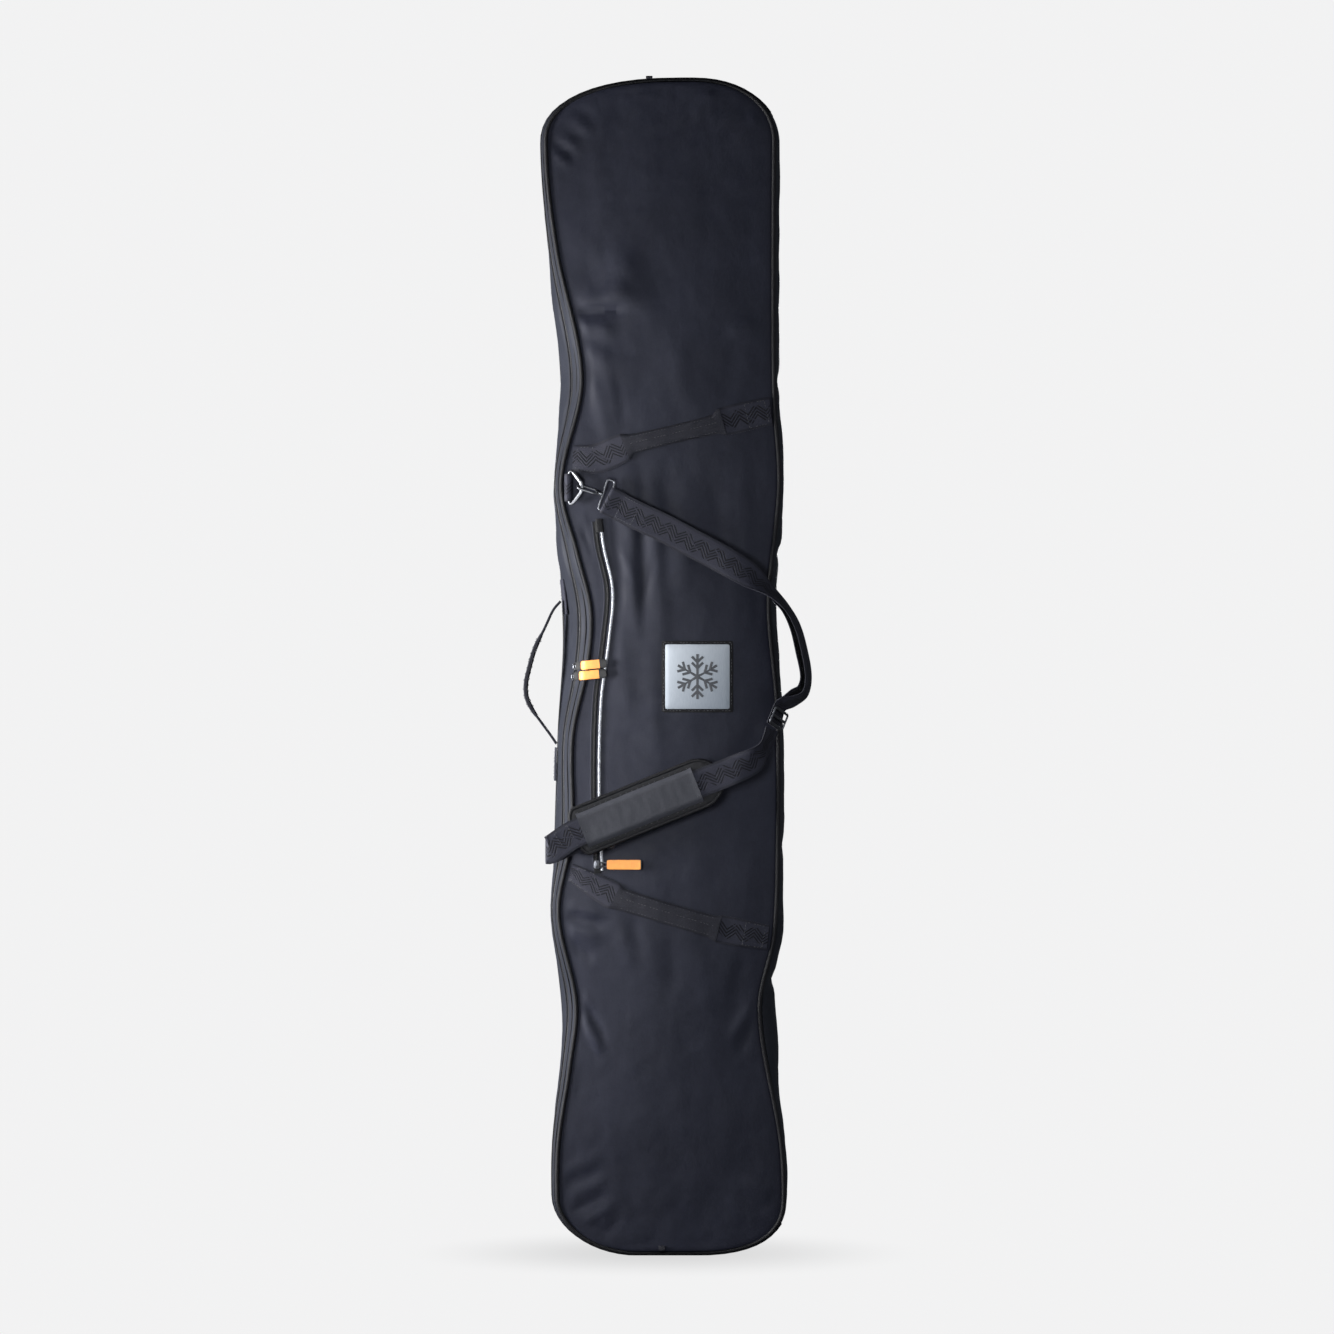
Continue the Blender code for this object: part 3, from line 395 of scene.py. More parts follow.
def jacquard(name, colour, plain=False):
    """Strap webbing: ribs across it, a bound edge and, unless plain, chevrons woven in a tone."""
    g = Graph(name, colour, 0.72, sheen=0.02, specular=0.22)
    u, v = g.uv()
    side = g.math("ABSOLUTE", v)
    rib = g.math("SINE", g.times(u, 2 * math.pi / 0.0016))
    yarn = g.math("SINE", g.times(v, 2 * math.pi * 14))
    weave = g.times(rib, yarn)
    fuzz = g.noise(900.0, 2.0, 0.7)
    height = g.plus(g.times(weave, 0.35), fuzz)
    share = g.remap(fuzz, 0.3, 0.7, 0.25, 0.75)
    edge = g.remap(side, 0.80, 0.88, 0.0, 1.0, True)
    if not plain:
        zig = g.minus(g.math("PINGPONG", g.plus(u, 0.5), 0.0130), 0.0065)
        bars = None
        for shift in (-0.0078, -0.0026, 0.0026, 0.0078):
            place = g.plus(g.times(v, 0.020), shift)
            off = g.math("ABSOLUTE", g.minus(place, zig))
            line = g.remap(off, 0.0009, 0.0014, 1.0, 0.0, True)
            bars = line if bars is None else g.math("MAXIMUM", bars, line)
        slant = g.plus(u, g.times(v, 0.031))
        cut = g.remap(g.math("PINGPONG", slant, 0.0210), 0.0012, 0.0022, 0.0, 1.0)
        inside = g.remap(side, 0.54, 0.60, 1.0, 0.0, True)
        figure = g.times(g.times(bars, cut), inside)
        ground = g.plus(g.times(share, 0.4), 0.52)
        share = g.minus(ground, g.times(figure, 0.70))
        height = g.minus(height, g.times(figure, 1.4))
    colour_out = g.mix(edge, g.tint(share, 0.25, 1.75), g.tint(fuzz, 0.55, 1.1))
    groove = g.minus(height, g.times(edge, 0.4))
    return g.finish(colour_out, g.remap(share, 0.0, 1.0, 0.78, 0.58), g.bump(groove, 0.0004, 0.8))


def binding(name, colour, roughness=0.6):
    """Folded tape over a cord: fine ribs and a soft shine."""
    g = Graph(name, colour, roughness, sheen=0.0, specular=0.22)
    ribs = g.weave(0.0012)
    fuzz = g.noise(700.0, 2.0, 0.6)
    height = g.plus(g.times(ribs, 0.5), fuzz)
    rough = g.remap(fuzz, 0.3, 0.7, roughness - 0.08, roughness + 0.1)
    return g.finish(g.tint(fuzz, 0.6, 1.5), rough, g.bump(height, 0.0003, 0.6))


def metal(name, colour, roughness):
    """Plated hardware with faint handling scratches and a duller, darker film in places."""
    g = Graph(name, colour, roughness, metallic=1.0)
    scratch = g.noise(1.0, 4.0, 0.7, g.stretched((1500, 1500, 260)))
    film = g.noise(130.0, 3.0, 0.6)
    worn = g.remap(film, 0.35, 0.7, roughness * 0.7, roughness * 1.5)
    rough = g.plus(worn, g.times(scratch, 0.08))
    return g.finish(g.tint(film, 0.78, 1.1), rough, g.bump(scratch, 0.00008, 0.4))


def rubber(name, colour):
    """Soft moulded rubber with a fine pebble and a dusty, darker wear in random patches."""
    g = Graph(name, colour, 0.5, specular=0.3)
    pebble = g.noise(1600.0, 2.0, 0.5)
    dust = g.noise(160.0, 4.0, 0.65)
    return g.finish(
        g.tint(g.remap(dust, 0.3, 0.75, 0.2, 1.0), 0.82, 1.06),
        g.remap(dust, 0.3, 0.7, 0.42, 0.62), g.bump(pebble, 0.00015, 0.5),
    )


def reflective(name, colour, pitch):
    """Silver reflective film over a fine net: a hatch of tiny cells with darker gaps."""
    g = Graph(name, colour, 0.32, metallic=0.35)
    x, _, z = g.parts(g.place)
    turn = 2 * math.pi / pitch
    one = g.math("SINE", g.times(g.plus(z, x), turn))
    two = g.math("SINE", g.times(g.minus(z, x), turn))
    net = g.times(one, two)
    worn = g.noise(420.0, 4.0, 0.7)
    share = g.plus(g.remap(net, -1.0, 1.0, 0.35, 0.75), g.remap(worn, 0.35, 0.65, -0.45, 0.35))
    return g.finish(
        g.tint(g.math("MAXIMUM", share, 0.0), 0.30, 1.45), g.remap(worn, 0.3, 0.7, 0.25, 0.5),
        g.bump(net, 0.0002, 0.5),
    )


def label_film_painted_reflection(name, dark, light):
    """Satin silver film: a painted reflection, a soft fall from light at its upper left to dark down it and
    to its right, and a faint brushed grain.
    """
    g = Graph(name, dark, 0.45, metallic=0.1, specular=0.3)
    x, _, z = g.parts(g.place)
    # painted reflection: the film's colour runs from dark at its lower right to light at its upper left
    down = g.plus(g.times(z, 0.7), g.times(x, -0.5))
    middle = LABEL_CENTRE[1] * 0.7 - LABEL_CENTRE[0] * 0.5
    share = g.remap(down, middle - 0.055, middle + 0.055, 0.0, 1.0)
    grain = g.noise(1.0, 3.0, 0.6, g.stretched((900, 900, 120)))
    share = g.plus(share, g.remap(grain, 0.3, 0.7, -0.10, 0.10))
    return g.finish(
        g.mix(share, dark, light), g.remap(grain, 0.3, 0.7, 0.38, 0.5), g.bump(grain, 0.0001, 0.4),
    )


def stitch(name, colour):
    g = Graph(name, colour, 0.6, sheen=0.02, specular=0.25)
    twist = g.noise(2600.0, 2.0, 0.5)
    return g.finish(g.tint(twist, 0.6, 1.4), None, g.bump(twist, 0.0002, 0.7))


def quilted(name, colour):
    """Padded lining: a soft brushed face with a heather."""
    g = Graph(name, colour, 0.85, sheen=0.02, specular=0.15)
    heather = g.noise(500.0, 3.0, 0.7)
    cloud = g.noise(14.0, 3.0)
    shade = g.plus(g.times(heather, 0.6), g.times(cloud, 0.4))
    shade = g.remap(shade, 0.35, 0.65, 0.0, 1.0)
    return g.finish(g.tint(shade, 0.75, 1.25), None, g.bump(heather, 0.0004, 0.5))


NAVY = outer_fabric("navy_fabric", (0.0135, 0.0148, 0.0245))
SIDE_NAVY = outer_fabric("gusset_fabric", (0.0150, 0.0168, 0.0240), 0.004, specular=0.14)
LINING = quilted("grey_lining", (0.075, 0.080, 0.090))
BINDING = binding("black_binding", (0.0035, 0.0036, 0.0052))
ZIP_TAPE = binding("zip_tape", (0.0060, 0.0062, 0.0080), 0.7)
WEBBING = jacquard("jacquard_webbing", (0.0140, 0.0146, 0.0232))
PLAIN_WEBBING = jacquard("plain_webbing", (0.0128, 0.0133, 0.0200), plain=True)
SLEEVE_FABRIC = outer_fabric("pad_sleeve_fabric", (0.0370, 0.0385, 0.0470), 0.006)
PAD_FABRIC = quilted("pad_fabric", (0.0160, 0.0162, 0.0180))
GUNMETAL = metal("gunmetal", (0.17, 0.175, 0.19), 0.38)
GREY_METAL = metal("grey_metal", (0.13, 0.135, 0.15), 0.36)
BLACK_PLASTIC = rubber("black_rubber", (0.012, 0.012, 0.013))
COIL = rubber("zip_coil", (0.016, 0.016, 0.018))
ORANGE = rubber("orange_rubber", (0.90, 0.36, 0.085))
SILVER = reflective("reflective_silver", (0.44, 0.46, 0.50), 0.0012)
# the label film's dark and light ends of its painted reflection
LABEL_SILVER = label_film_painted_reflection("label_silver", (0.22, 0.25, 0.29), (0.42, 0.455, 0.50))
LABEL_MARK = rubber("label_mark", (0.060, 0.064, 0.072))
THREAD = stitch("grey_thread", (0.055, 0.056, 0.062))


# ---- mesh building ----


def mesh_object(name, points, faces, materials, uvs=None, indices=None, angle=50):
    """An object from points and faces. uvs gives each point's place along and across a strap."""
    mesh = bpy.data.meshes.new(name)
    mesh.from_pydata([tuple(p) for p in points], [], faces)
    for made in materials if isinstance(materials, (list, tuple)) else [materials]:
        mesh.materials.append(made)
    if indices is not None:
        mesh.polygons.foreach_set("material_index", indices)
    if uvs is not None:
        layer = mesh.uv_layers.new(name="strap")
        loops = np.empty(len(mesh.loops), np.int32)
        mesh.loops.foreach_get("vertex_index", loops)
        layer.data.foreach_set("uv", np.asarray(uvs, np.float32)[loops].ravel())
    bm = bmesh.new()
    bm.from_mesh(mesh)
    bmesh.ops.recalc_face_normals(bm, faces=bm.faces)
    bm.to_mesh(mesh)
    bm.free()
    mesh.shade_smooth()
    mesh.set_sharp_from_angle(angle=math.radians(angle))
    obj = bpy.data.objects.new(name, mesh)
    bpy.context.scene.collection.objects.link(obj)
    return obj


def shell_mesh(name, outer, inner, materials, uvs=None):
    """A closed cloth between two grids of points: the outer face and the lining side."""
    rows, columns = len(outer), len(outer[0])
    points = [p for row in outer for p in row] + [p for row in inner for p in row]
    half = rows * columns
    faces, kinds = [], []
    for i in range(rows - 1):
        a, b = i * columns, (i + 1) * columns
        for j in range(columns - 1):
            faces.append((a + j, a + j + 1, b + j + 1, b + j))
            faces.append((half + a + j, half + b + j, half + b + j + 1, half + a + j + 1))
            kinds += [0, 1]
        for j in (0, columns - 1):
            faces.append((a + j, b + j, half + b + j, half + a + j))
            kinds.append(0)
    for a in (0, (rows - 1) * columns):
        for j in range(columns - 1):
            faces.append((a + j, a + j + 1, half + a + j + 1, half + a + j))
            kinds.append(0)
    return mesh_object(name, points, faces, materials, uvs, kinds)


def circle(radius, sides=10, squash=1.0):
    turns = [2 * math.pi * k / sides for k in range(sides)]
    return [(radius * math.cos(t), radius * squash * math.sin(t)) for t in turns]


def band(half, thick, crown=0.0, steps=8):
    """A strap's cross-section: flat with round edges, and crowned in the middle if asked."""
    upper = []
    for share in spread(-1.0, 1.0, steps):
        bend = crown * (1 - share**2)
        edge = thick / 2 * (1.0 if abs(share) < 0.99 else 0.55)
        upper.append((share * half, bend, edge))
    top = [(a, bend + edge) for a, bend, edge in upper]
    low = [(a, bend - edge) for a, bend, edge in reversed(upper)]
    return top + low


def sweep(name, frames, section, material, cyclic=False, widths=None, heights=None):
    """A section carried along (centre, side, normal) frames, with strap coordinates for its weave."""
    count, sides = len(frames), len(section)
    reach = max(abs(a) for a, _ in section) or 1.0
    points, uvs, run = [], [], 0.0
    for i, (centre, side, normal) in enumerate(frames):
        run += (centre - frames[i - 1][0]).length if i else 0.0
        wide = widths[i] if widths else 1.0
        tall = heights[i] if heights else 1.0
        for a, b in section:
            points.append(centre + side * (a * wide) + normal * (b * tall))
            uvs.append((run, a / reach))
    faces = []
    for i in range(count if cyclic else count - 1):
        n = (i + 1) % count
        for j in range(sides):
            k = (j + 1) % sides
            faces.append((i * sides + j, i * sides + k, n * sides + k, n * sides + j))
    if not cyclic:
        faces.append(tuple(range(sides)))
        faces.append(tuple((count - 1) * sides + j for j in reversed(range(sides))))
    return mesh_object(name, points, faces, material, uvs=uvs)


def refined(points, step, cyclic=False):
    """Points about this far apart on a smooth curve through the given ones."""
    given = [Vector(p) for p in points]
    if cyclic:
        given = given[-3:] + given + given[:3]
    places = [0.0]
    for one, two in zip(given, given[1:]):
        places.append(places[-1] + max((two - one).length, 1e-5))
    tables = [[(s, p[axis]) for s, p in zip(places, given)] for axis in range(3)]
    start, end = (places[3], places[-3]) if cyclic else (0.0, places[-1])
    count = max(2, round((end - start) / step))
    found = [Vector([smooth(table, s) for table in tables]) for s in spread(start, end, count)]
    return found[:-1] if cyclic else found


def carried_frames(points, up=(0.0, -1.0, 0.0), cyclic=False):
    """Frames along a rod, turned as little as possible from one point to the next."""
    frames, normal, count = [], Vector(up), len(points)
    for i, point in enumerate(points):
        before = points[i - 1] if i or cyclic else point
        after = points[(i + 1) % count] if i + 1 < count or cyclic else point
        along = (after - before).normalized()
        normal = (normal - along * normal.dot(along)).normalized()
        frames.append((point, along.cross(normal).normalized(), normal.copy()))
    return frames


def rod(name, points, radius, material, cyclic=False, step=None, sides=10, up=(0.0, -1.0, 0.0)):
    places = refined(points, step or radius, cyclic)
    return sweep(name, carried_frames(places, up, cyclic), circle(radius, sides), material, cyclic)


def strap_frames(stations):
    """The CAD's own frames along a strap: twist 0 lies flat to the front, 1 stands on edge."""
    centres = [Vector(station[:3]) for station in stations]
    frames, side = [], None
    for i, (centre, station) in enumerate(zip(centres, stations)):
        along = (centres[min(i + 1, len(centres) - 1)] - centres[max(i - 1, 0)]).normalized()
        flat = Vector((-along.z, 0.0, along.x))
        if side is not None and (flat.length < 0.3 or abs(along.y) > 0.5):
            flat = side.copy()
        flat.normalize()
        if side is not None and station[3] < 0.5 and flat.dot(side) < 0:
            flat = -flat
        turned = flat.lerp(Vector((0, 1, 0)), station[3])
        turned -= along * turned.dot(along)
        side = turned.normalized()
        frames.append((centre, side, along.cross(side).normalized()))
    return frames


def fine_frames(frames, step):
    """Frames at small steps on a smooth curve through the given ones."""
    places = [0.0]
    for one, two in zip(frames, frames[1:]):
        places.append(places[-1] + (two[0] - one[0]).length)
    tables = [
        [[(s, frame[part][axis]) for s, frame in zip(places, frames)] for axis in range(3)]
        for part in (0, 1)
    ]
    at = spread(0.0, places[-1], max(2, round(places[-1] / step)))
    centres = [Vector([smooth(table, s) for table in tables[0]]) for s in at]
    found = []
    for i, s in enumerate(at):
        along = (centres[min(i + 1, len(centres) - 1)] - centres[max(i - 1, 0)]).normalized()
        side = Vector([smooth(table, s) for table in tables[1]])
        side = (side - along * side.dot(along)).normalized()
        found.append((centres[i], side, along.cross(side).normalized()))
    return found


def join(name, parts):
    """One object from several, which keeps each one's materials and strap coordinates."""
    for obj in bpy.context.selected_objects:
        obj.select_set(False)
    for part in parts:
        part.select_set(True)
    bpy.context.view_layer.objects.active = parts[0]
    if len(parts) > 1:
        bpy.ops.object.join()
    made = bpy.context.view_layer.objects.active
    made.name = made.data.name = name
    return made


STITCH_LENGTH, STITCH_GAP = 0.0032, 0.0012
THREAD_RADIUS, THREAD_LIFT = 0.00035, 0.0003


def stitches(name, points, normals):
    """A row of thread stitches along a line on a surface, as one mesh of small rounded bars."""
    verts, faces, run = [], [], 0.0
    for i in range(1, len(points)):
        start, end = points[i - 1], points[i]
        span = (end - start).length
        if span < 1e-6:
            continue
        along = (end - start) / span
        while run < span:
            close = min(run + STITCH_LENGTH, span)
            if close - run > STITCH_LENGTH * 0.5:
                up = normals[i].normalized()
                side = along.cross(up).normalized()
                base = len(verts)
                for share, size in ((0.0, 0.35), (0.25, 1.0), (0.75, 1.0), (1.0, 0.35)):
                    middle = start + along * (run + (close - run) * share) + up * THREAD_LIFT
                    for a, b in ((-1, 0), (-0.6, 0.8), (0.6, 0.8), (1, 0)):
                        wide, high = THREAD_RADIUS * size, THREAD_RADIUS * size * 1.4
                        verts.append(middle + side * (a * wide) + up * (b * high))
                for k in range(3):
                    for j in range(3):
                        q = base + k * 4 + j
                        faces.append((q, q + 1, q + 5, q + 4))
            run += STITCH_LENGTH + STITCH_GAP
        run -= span
    return mesh_object(name, verts, faces, THREAD)


def put(obj, body, slot, *nodes):
    """Rides a piece on its body and takes the place of CAD nodes. The slot argument is not used."""
    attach(obj, body)
    if nodes:
        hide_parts(*nodes)
    return obj


# ---- folds in the fabric ----

# Folds of the front panel: two ends (x, z), half width and height in metres. A valley's height is negative.
FRONT_FOLDS = [
    # creases across the upper left, above the first strap
    ((-0.128, 1.342), (-0.052, 1.349), 0.0058, -0.0048), ((-0.122, 1.360), (-0.050, 1.374), 0.0120, 0.0046),
    ((-0.128, 1.324), (-0.070, 1.320), 0.0105, 0.0040), ((-0.118, 1.294), (-0.078, 1.276), 0.0120, 0.0022),
    ((-0.064, 1.430), (-0.050, 1.340), 0.0280, 0.0044), ((-0.082, 1.290), (-0.066, 1.200), 0.0260, 0.0030),
    ((-0.120, 1.398), (-0.070, 1.416), 0.0140, -0.0016), ((0.128, 1.330), (0.092, 1.316), 0.0100, 0.0022),
    # tucks round the top left and right corners
    ((-0.168, 1.606), (-0.122, 1.582), 0.0070, 0.0024), ((-0.170, 1.592), (-0.126, 1.566), 0.0050, -0.0024),
    ((-0.170, 1.576), (-0.132, 1.556), 0.0060, 0.0020), ((-0.150, 1.636), (-0.104, 1.602), 0.0085, 0.0018),
    ((-0.142, 1.646), (-0.100, 1.624), 0.0060, -0.0016), ((0.146, 1.630), (0.100, 1.590), 0.0110, 0.0016),
    ((0.126, 1.652), (0.080, 1.610), 0.0100, 0.0014), ((0.070, 1.664), (0.044, 1.622), 0.0110, 0.0012),
    # long hanging folds under the upper strap
    ((-0.074, 1.096), (-0.068, 0.948), 0.0110, -0.0018), ((-0.052, 1.118), (-0.040, 0.880), 0.0120, 0.0024),
    ((-0.032, 1.100), (-0.030, 0.905), 0.0082, -0.0028), ((-0.016, 1.112), (-0.004, 0.880), 0.0125, 0.0024),
    ((0.006, 1.118), (0.000, 0.965), 0.0120, -0.0016), ((0.030, 1.110), (0.026, 0.940), 0.0160, 0.0014),
    ((-0.064, 1.010), (-0.044, 0.968), 0.0070, 0.0014), ((-0.014, 0.990), (-0.030, 0.940), 0.0060, -0.0014),
    ((0.070, 1.120), (0.082, 0.980), 0.0150, -0.0014), ((0.112, 1.130), (0.122, 0.960), 0.0120, 0.0014),
    ((-0.060, 0.900), (-0.052, 0.760), 0.0120, 0.0014), ((-0.020, 0.880), (-0.008, 0.700), 0.0140, 0.0012),
    # above the upper strap, where it pulls
    ((-0.100, 1.250), (-0.080, 1.165), 0.0090, 0.0018), ((-0.070, 1.270), (-0.055, 1.180), 0.0090, -0.0014),
    ((0.020, 1.300), (0.030, 1.200), 0.0160, 0.0012), ((0.100, 1.310), (0.092, 1.215), 0.0130, -0.0012),
    # crumples by the ring and the waist
    ((-0.112, 1.060), (-0.084, 1.020), 0.0070, 0.0020), ((-0.118, 1.036), (-0.092, 0.998), 0.0060, -0.0020),
    ((-0.100, 0.976), (-0.070, 0.996), 0.0080, 0.0014),
    # bunched cloth left of and below the lower strap
    ((-0.140, 0.502), (-0.086, 0.486), 0.0075, 0.0026), ((-0.140, 0.484), (-0.080, 0.474), 0.0060, -0.0028),
    ((-0.138, 0.470), (-0.090, 0.452), 0.0080, 0.0026), ((-0.136, 0.446), (-0.098, 0.424), 0.0070, -0.0024),
    ((-0.070, 0.490), (-0.046, 0.410), 0.0120, 0.0012), ((-0.052, 0.480), (-0.020, 0.430), 0.0100, -0.0010),
    ((-0.030, 0.470), (-0.010, 0.390), 0.0140, 0.0010), ((0.010, 0.455), (0.016, 0.380), 0.0110, -0.0012),
    ((0.050, 0.445), (0.062, 0.350), 0.0140, 0.0012), ((0.112, 0.430), (0.098, 0.350), 0.0100, -0.0014),
    # tucks beside the lower waist
    ((-0.122, 0.350), (-0.088, 0.292), 0.0060, 0.0030), ((-0.112, 0.362), (-0.082, 0.306), 0.0050, -0.0030),
    ((-0.124, 0.328), (-0.094, 0.282), 0.0060, -0.0014), ((-0.116, 0.372), (-0.100, 0.350), 0.0050, 0.0018),
    ((0.128, 0.360), (0.094, 0.310), 0.0080, 0.0022), ((0.134, 0.344), (0.104, 0.290), 0.0070, -0.0020),
    # creases fanning out of the base corners
    ((-0.150, 0.118), (-0.090, 0.146), 0.0065, 0.0014), ((-0.148, 0.100), (-0.086, 0.124), 0.0050, -0.0016),
    ((-0.142, 0.082), (-0.084, 0.106), 0.0060, 0.0015), ((-0.134, 0.062), (-0.080, 0.090), 0.0048, -0.0014),
    ((-0.120, 0.044), (-0.070, 0.074), 0.0065, 0.0013), ((-0.092, 0.026), (-0.056, 0.060), 0.0080, -0.0010),
    ((0.156, 0.084), (0.110, 0.108), 0.0100, 0.0014), ((0.136, 0.046), (0.092, 0.080), 0.0100, 0.0012),
]
BACK_FOLDS = [
    ((-0.140, 1.28), (-0.060, 1.25), 0.012, 0.0020), ((0.140, 1.22), (0.080, 1.17), 0.012, 0.0018),
    ((-0.135, 0.90), (-0.080, 0.86), 0.012, 0.0022), ((-0.130, 0.86), (-0.070, 0.84), 0.009, -0.0018),
    ((0.135, 1.02), (0.075, 0.98), 0.011, 0.0022), ((-0.020, 1.12), (-0.012, 0.90), 0.016, 0.0012),
    ((0.040, 0.80), (0.046, 0.60), 0.016, -0.0012), ((0.130, 0.40), (0.080, 0.36), 0.010, 0.0022),
    ((-0.130, 0.35), (-0.070, 0.31), 0.011, 0.0020), ((-0.120, 0.08), (-0.070, 0.12), 0.010, 0.0016),
    ((-0.130, 1.60), (-0.080, 1.56), 0.010, 0.0018), ((0.130, 1.60), (0.080, 1.56), 0.011, 0.0016),
]
# Buckles in the gusset: height, half width and depth inwards, on the left and on the right
LEFT_BUCKLES = [
    (1.340, 0.045, -0.0030), (1.200, 0.040, -0.0045), (1.000, 0.036, -0.0048), (0.900, 0.020, 0.0016),
    (0.392, 0.030, 0.0008),
]
RIGHT_BUCKLES = [
    (1.2480, 0.012, 0.0030), (1.0030, 0.011, 0.0050), (1.0150, 0.040, -0.0045), (0.585, 0.014, 0.0024),
    (0.3900, 0.013, 0.0062), (0.4550, 0.035, -0.0050), (0.3200, 0.062, -0.0100), (0.3900, 0.030, -0.0040),
    (0.760, 0.030, 0.0012),
]


def fold_height(folds, x, z):
    """How far these folds lift the cloth at this place."""
    total = 0.0
    for (x0, z0), (x1, z1), wide, high in folds:
        dx, dz = x1 - x0, z1 - z0
        long = dx * dx + dz * dz
        t = ((x - x0) * dx + (z - z0) * dz) / long
        if not -0.3 < t < 1.3:
            continue
        off = abs((x - x0) * dz - (z - z0) * dx) / math.sqrt(long)
        if off > wide * 3.0:
            continue
        ends = math.exp(-((max(0.0, abs(t - 0.5) - 0.22) / 0.26) ** 2))
        total += high * ends * math.exp(-((off / wide) ** 2))
    return total


def ripple(x, y, z, scale):
    """Smooth unevenness from -1 to 1, with lumps about this far apart."""
    return noise.noise(Vector((x / scale, y / scale, z / scale)))


def ease(value, low, high):
    t = min(1.0, max(0.0, (value - low) / (high - low)))
    return t * t * (3 - 2 * t)


def edge_distance(x, z, left, right):
    """Roughly how far this place on a panel is from the outline."""
    near = min(x - smooth(left, z), smooth(right, z) - x)
    for corners, rise in ((BASE_CORNERS, z - EDGE_LOW), (TOP_CORNERS, EDGE_HIGH - z)):
        near = min(near, rise)
        for (reach, tall, power), inset in zip(corners, (x - smooth(left, z), smooth(right, z) - x)):
            if inset < reach and rise < tall:
                u, v = 1 - inset / reach, 1 - max(rise, 0.0) / tall
                near = min(near, (1 - (u**power + v**power) ** (1 / power)) * min(reach, tall))
    return near


def front_lift(x, z):
    """How far the front panel's cloth stands out from the CAD surface here."""
    near = edge_distance(x, z, FRONT_LEFT, FRONT_RIGHT)
    lift = fold_height(FRONT_FOLDS, x, z) + 0.0011 * ripple(x, 0.0, z * 0.6, 0.045)
    lift += 0.0004 * ripple(x, 3.0, z, 0.016)
    if 0.54 < z < 1.06:
        calm = ease(abs(x - smooth(POCKET_ROUTE, z)), 0.010, 0.024)
        lift = lift * calm - 0.0004 * (1 - calm)
    if 0.53 < z < 0.72 or 1.04 < z < 1.12:
        lift = min(lift, 0.0010)
    pucker = 0.0006 * math.sin(z * 260 + 4 * ripple(x, 1.0, z, 0.05)) * math.exp(-near / 0.010)
    return max(-0.0030, lift + pucker) * ease(near, 0.003, 0.020)


def cloth_y(x, z):
    return front_y(x, z) - front_lift(x, z)


def cloth_normal(x, z):
    step = 0.002
    dx = cloth_y(x + step, z) - cloth_y(x - step, z)
    dz = cloth_y(x, z + step) - cloth_y(x, z - step)
    return Vector((dx / (2 * step), -1.0, dz / (2 * step))).normalized()


def back_lift(x, z):
    near = edge_distance(x, z, BACK_LEFT, BACK_RIGHT)
    lift = fold_height(BACK_FOLDS, x, z) + 0.0014 * ripple(x, 7.0, z * 0.5, 0.055)
    return lift * ease(near, 0.003, 0.022)


def panel_cloth(name, left, right, sign, lift, columns, materials):
    """A padded panel inside its piping, with folds, rounded into the piping at its edge."""
    surface = front_y if sign < 0 else back_y
    outer, inner = [], []
    for z, left_inset, right_inset, *_ in side_rows(PIPING_MARGIN - 0.0012):
        margin = PIPING_MARGIN - 0.0012
        low, high = smooth(left, z) + margin + left_inset, smooth(right, z) - margin - right_inset
        tops, lows = [], []
        for share in spread(0.0, 1.0, columns):
            eased = share - 0.35 * math.sin(2 * math.pi * share) / (2 * math.pi)
            x = low + (high - low) * eased
            roll = 0.0012 * math.exp(-max(0.0, edge_distance(x, z, left, right) - margin) / 0.0022)
            y = surface(x, z)
            tops.append(Vector((x, y + sign * (lift(x, z) - roll), z)))
            lows.append(Vector((x, y - sign * PANEL_THICK, z)))
        outer.append(tops)
        inner.append(lows)
    return shell_mesh(name, outer, inner, materials)


def gusset_lift(place, front, back):
    """Folds of the gusset at this outline point and place: buckles and soft ripples, fading towards the
    seams.
    """
    z = front[1]
    sides = 1 - front[3] ** 2
    left = front[2] < 0
    lift = 0.0
    for height, wide, deep in LEFT_BUCKLES if left else RIGHT_BUCKLES:
        slant = (place - 0.4) * (0.03 if left else 0.008)
        lift -= deep * math.exp(-(((z - height - slant) / wide) ** 2)) * sides
    x = front[0] + (back[0] - front[0]) * place
    lift += 0.0013 * ripple(x * 0.5, place * 0.12, z * 0.8, 0.040) * sides
    lift += 0.0005 * ripple(x, place * 0.12, z, 0.014) * sides
    return lift * math.sin(math.pi * min(1.0, max(0.0, place))) ** 0.5


def gusset_cloth(name, indices, places, materials, flat=()):
    """A strip of gusset over these outline points. flat places stay level for a zip."""
    outer, inner = [], []
    for k in indices:
        front, back = FRONTS[k], BACKS[k]
        tops, lows = [], []
        for place in places:
            calm = ease(abs(place - ZIP_PLACE), 0.03, 0.12)
            lift = gusset_lift(place, front, back) * (calm if flat else 1.0)
            hem = 0.0
            for at in flat:
                hem = max(hem, 0.0009 * math.exp(-(((place - at) / 0.012) ** 2)))
            tops.append(gusset_at(front, back, place, lift + hem))
            lows.append(gusset_at(front, back, place, min(lift, 0.0) - GUSSET_THICK))
        outer.append(tops)
        inner.append(lows)
    return shell_mesh(name, outer, inner, materials)


# ---- the bag's body ----


def zip_indices():
    """Outline points that the main zip runs past: all but the straight of the right-hand side."""
    return list(range(RIGHT_TO, len(FRONTS))) + list(range(RIGHT_FROM + 1))


def welt(name, indices, place, above):
    """The folded edge of a seam, a thin cord that runs past these outline points."""
    points = [gusset_at(FRONTS[k], BACKS[k], place, above) for k in indices[::2]]
    return sweep(name, carried_frames(points, up=(0.0, -1.0, 0.001)), circle(WELT_RADIUS, 8), BINDING)


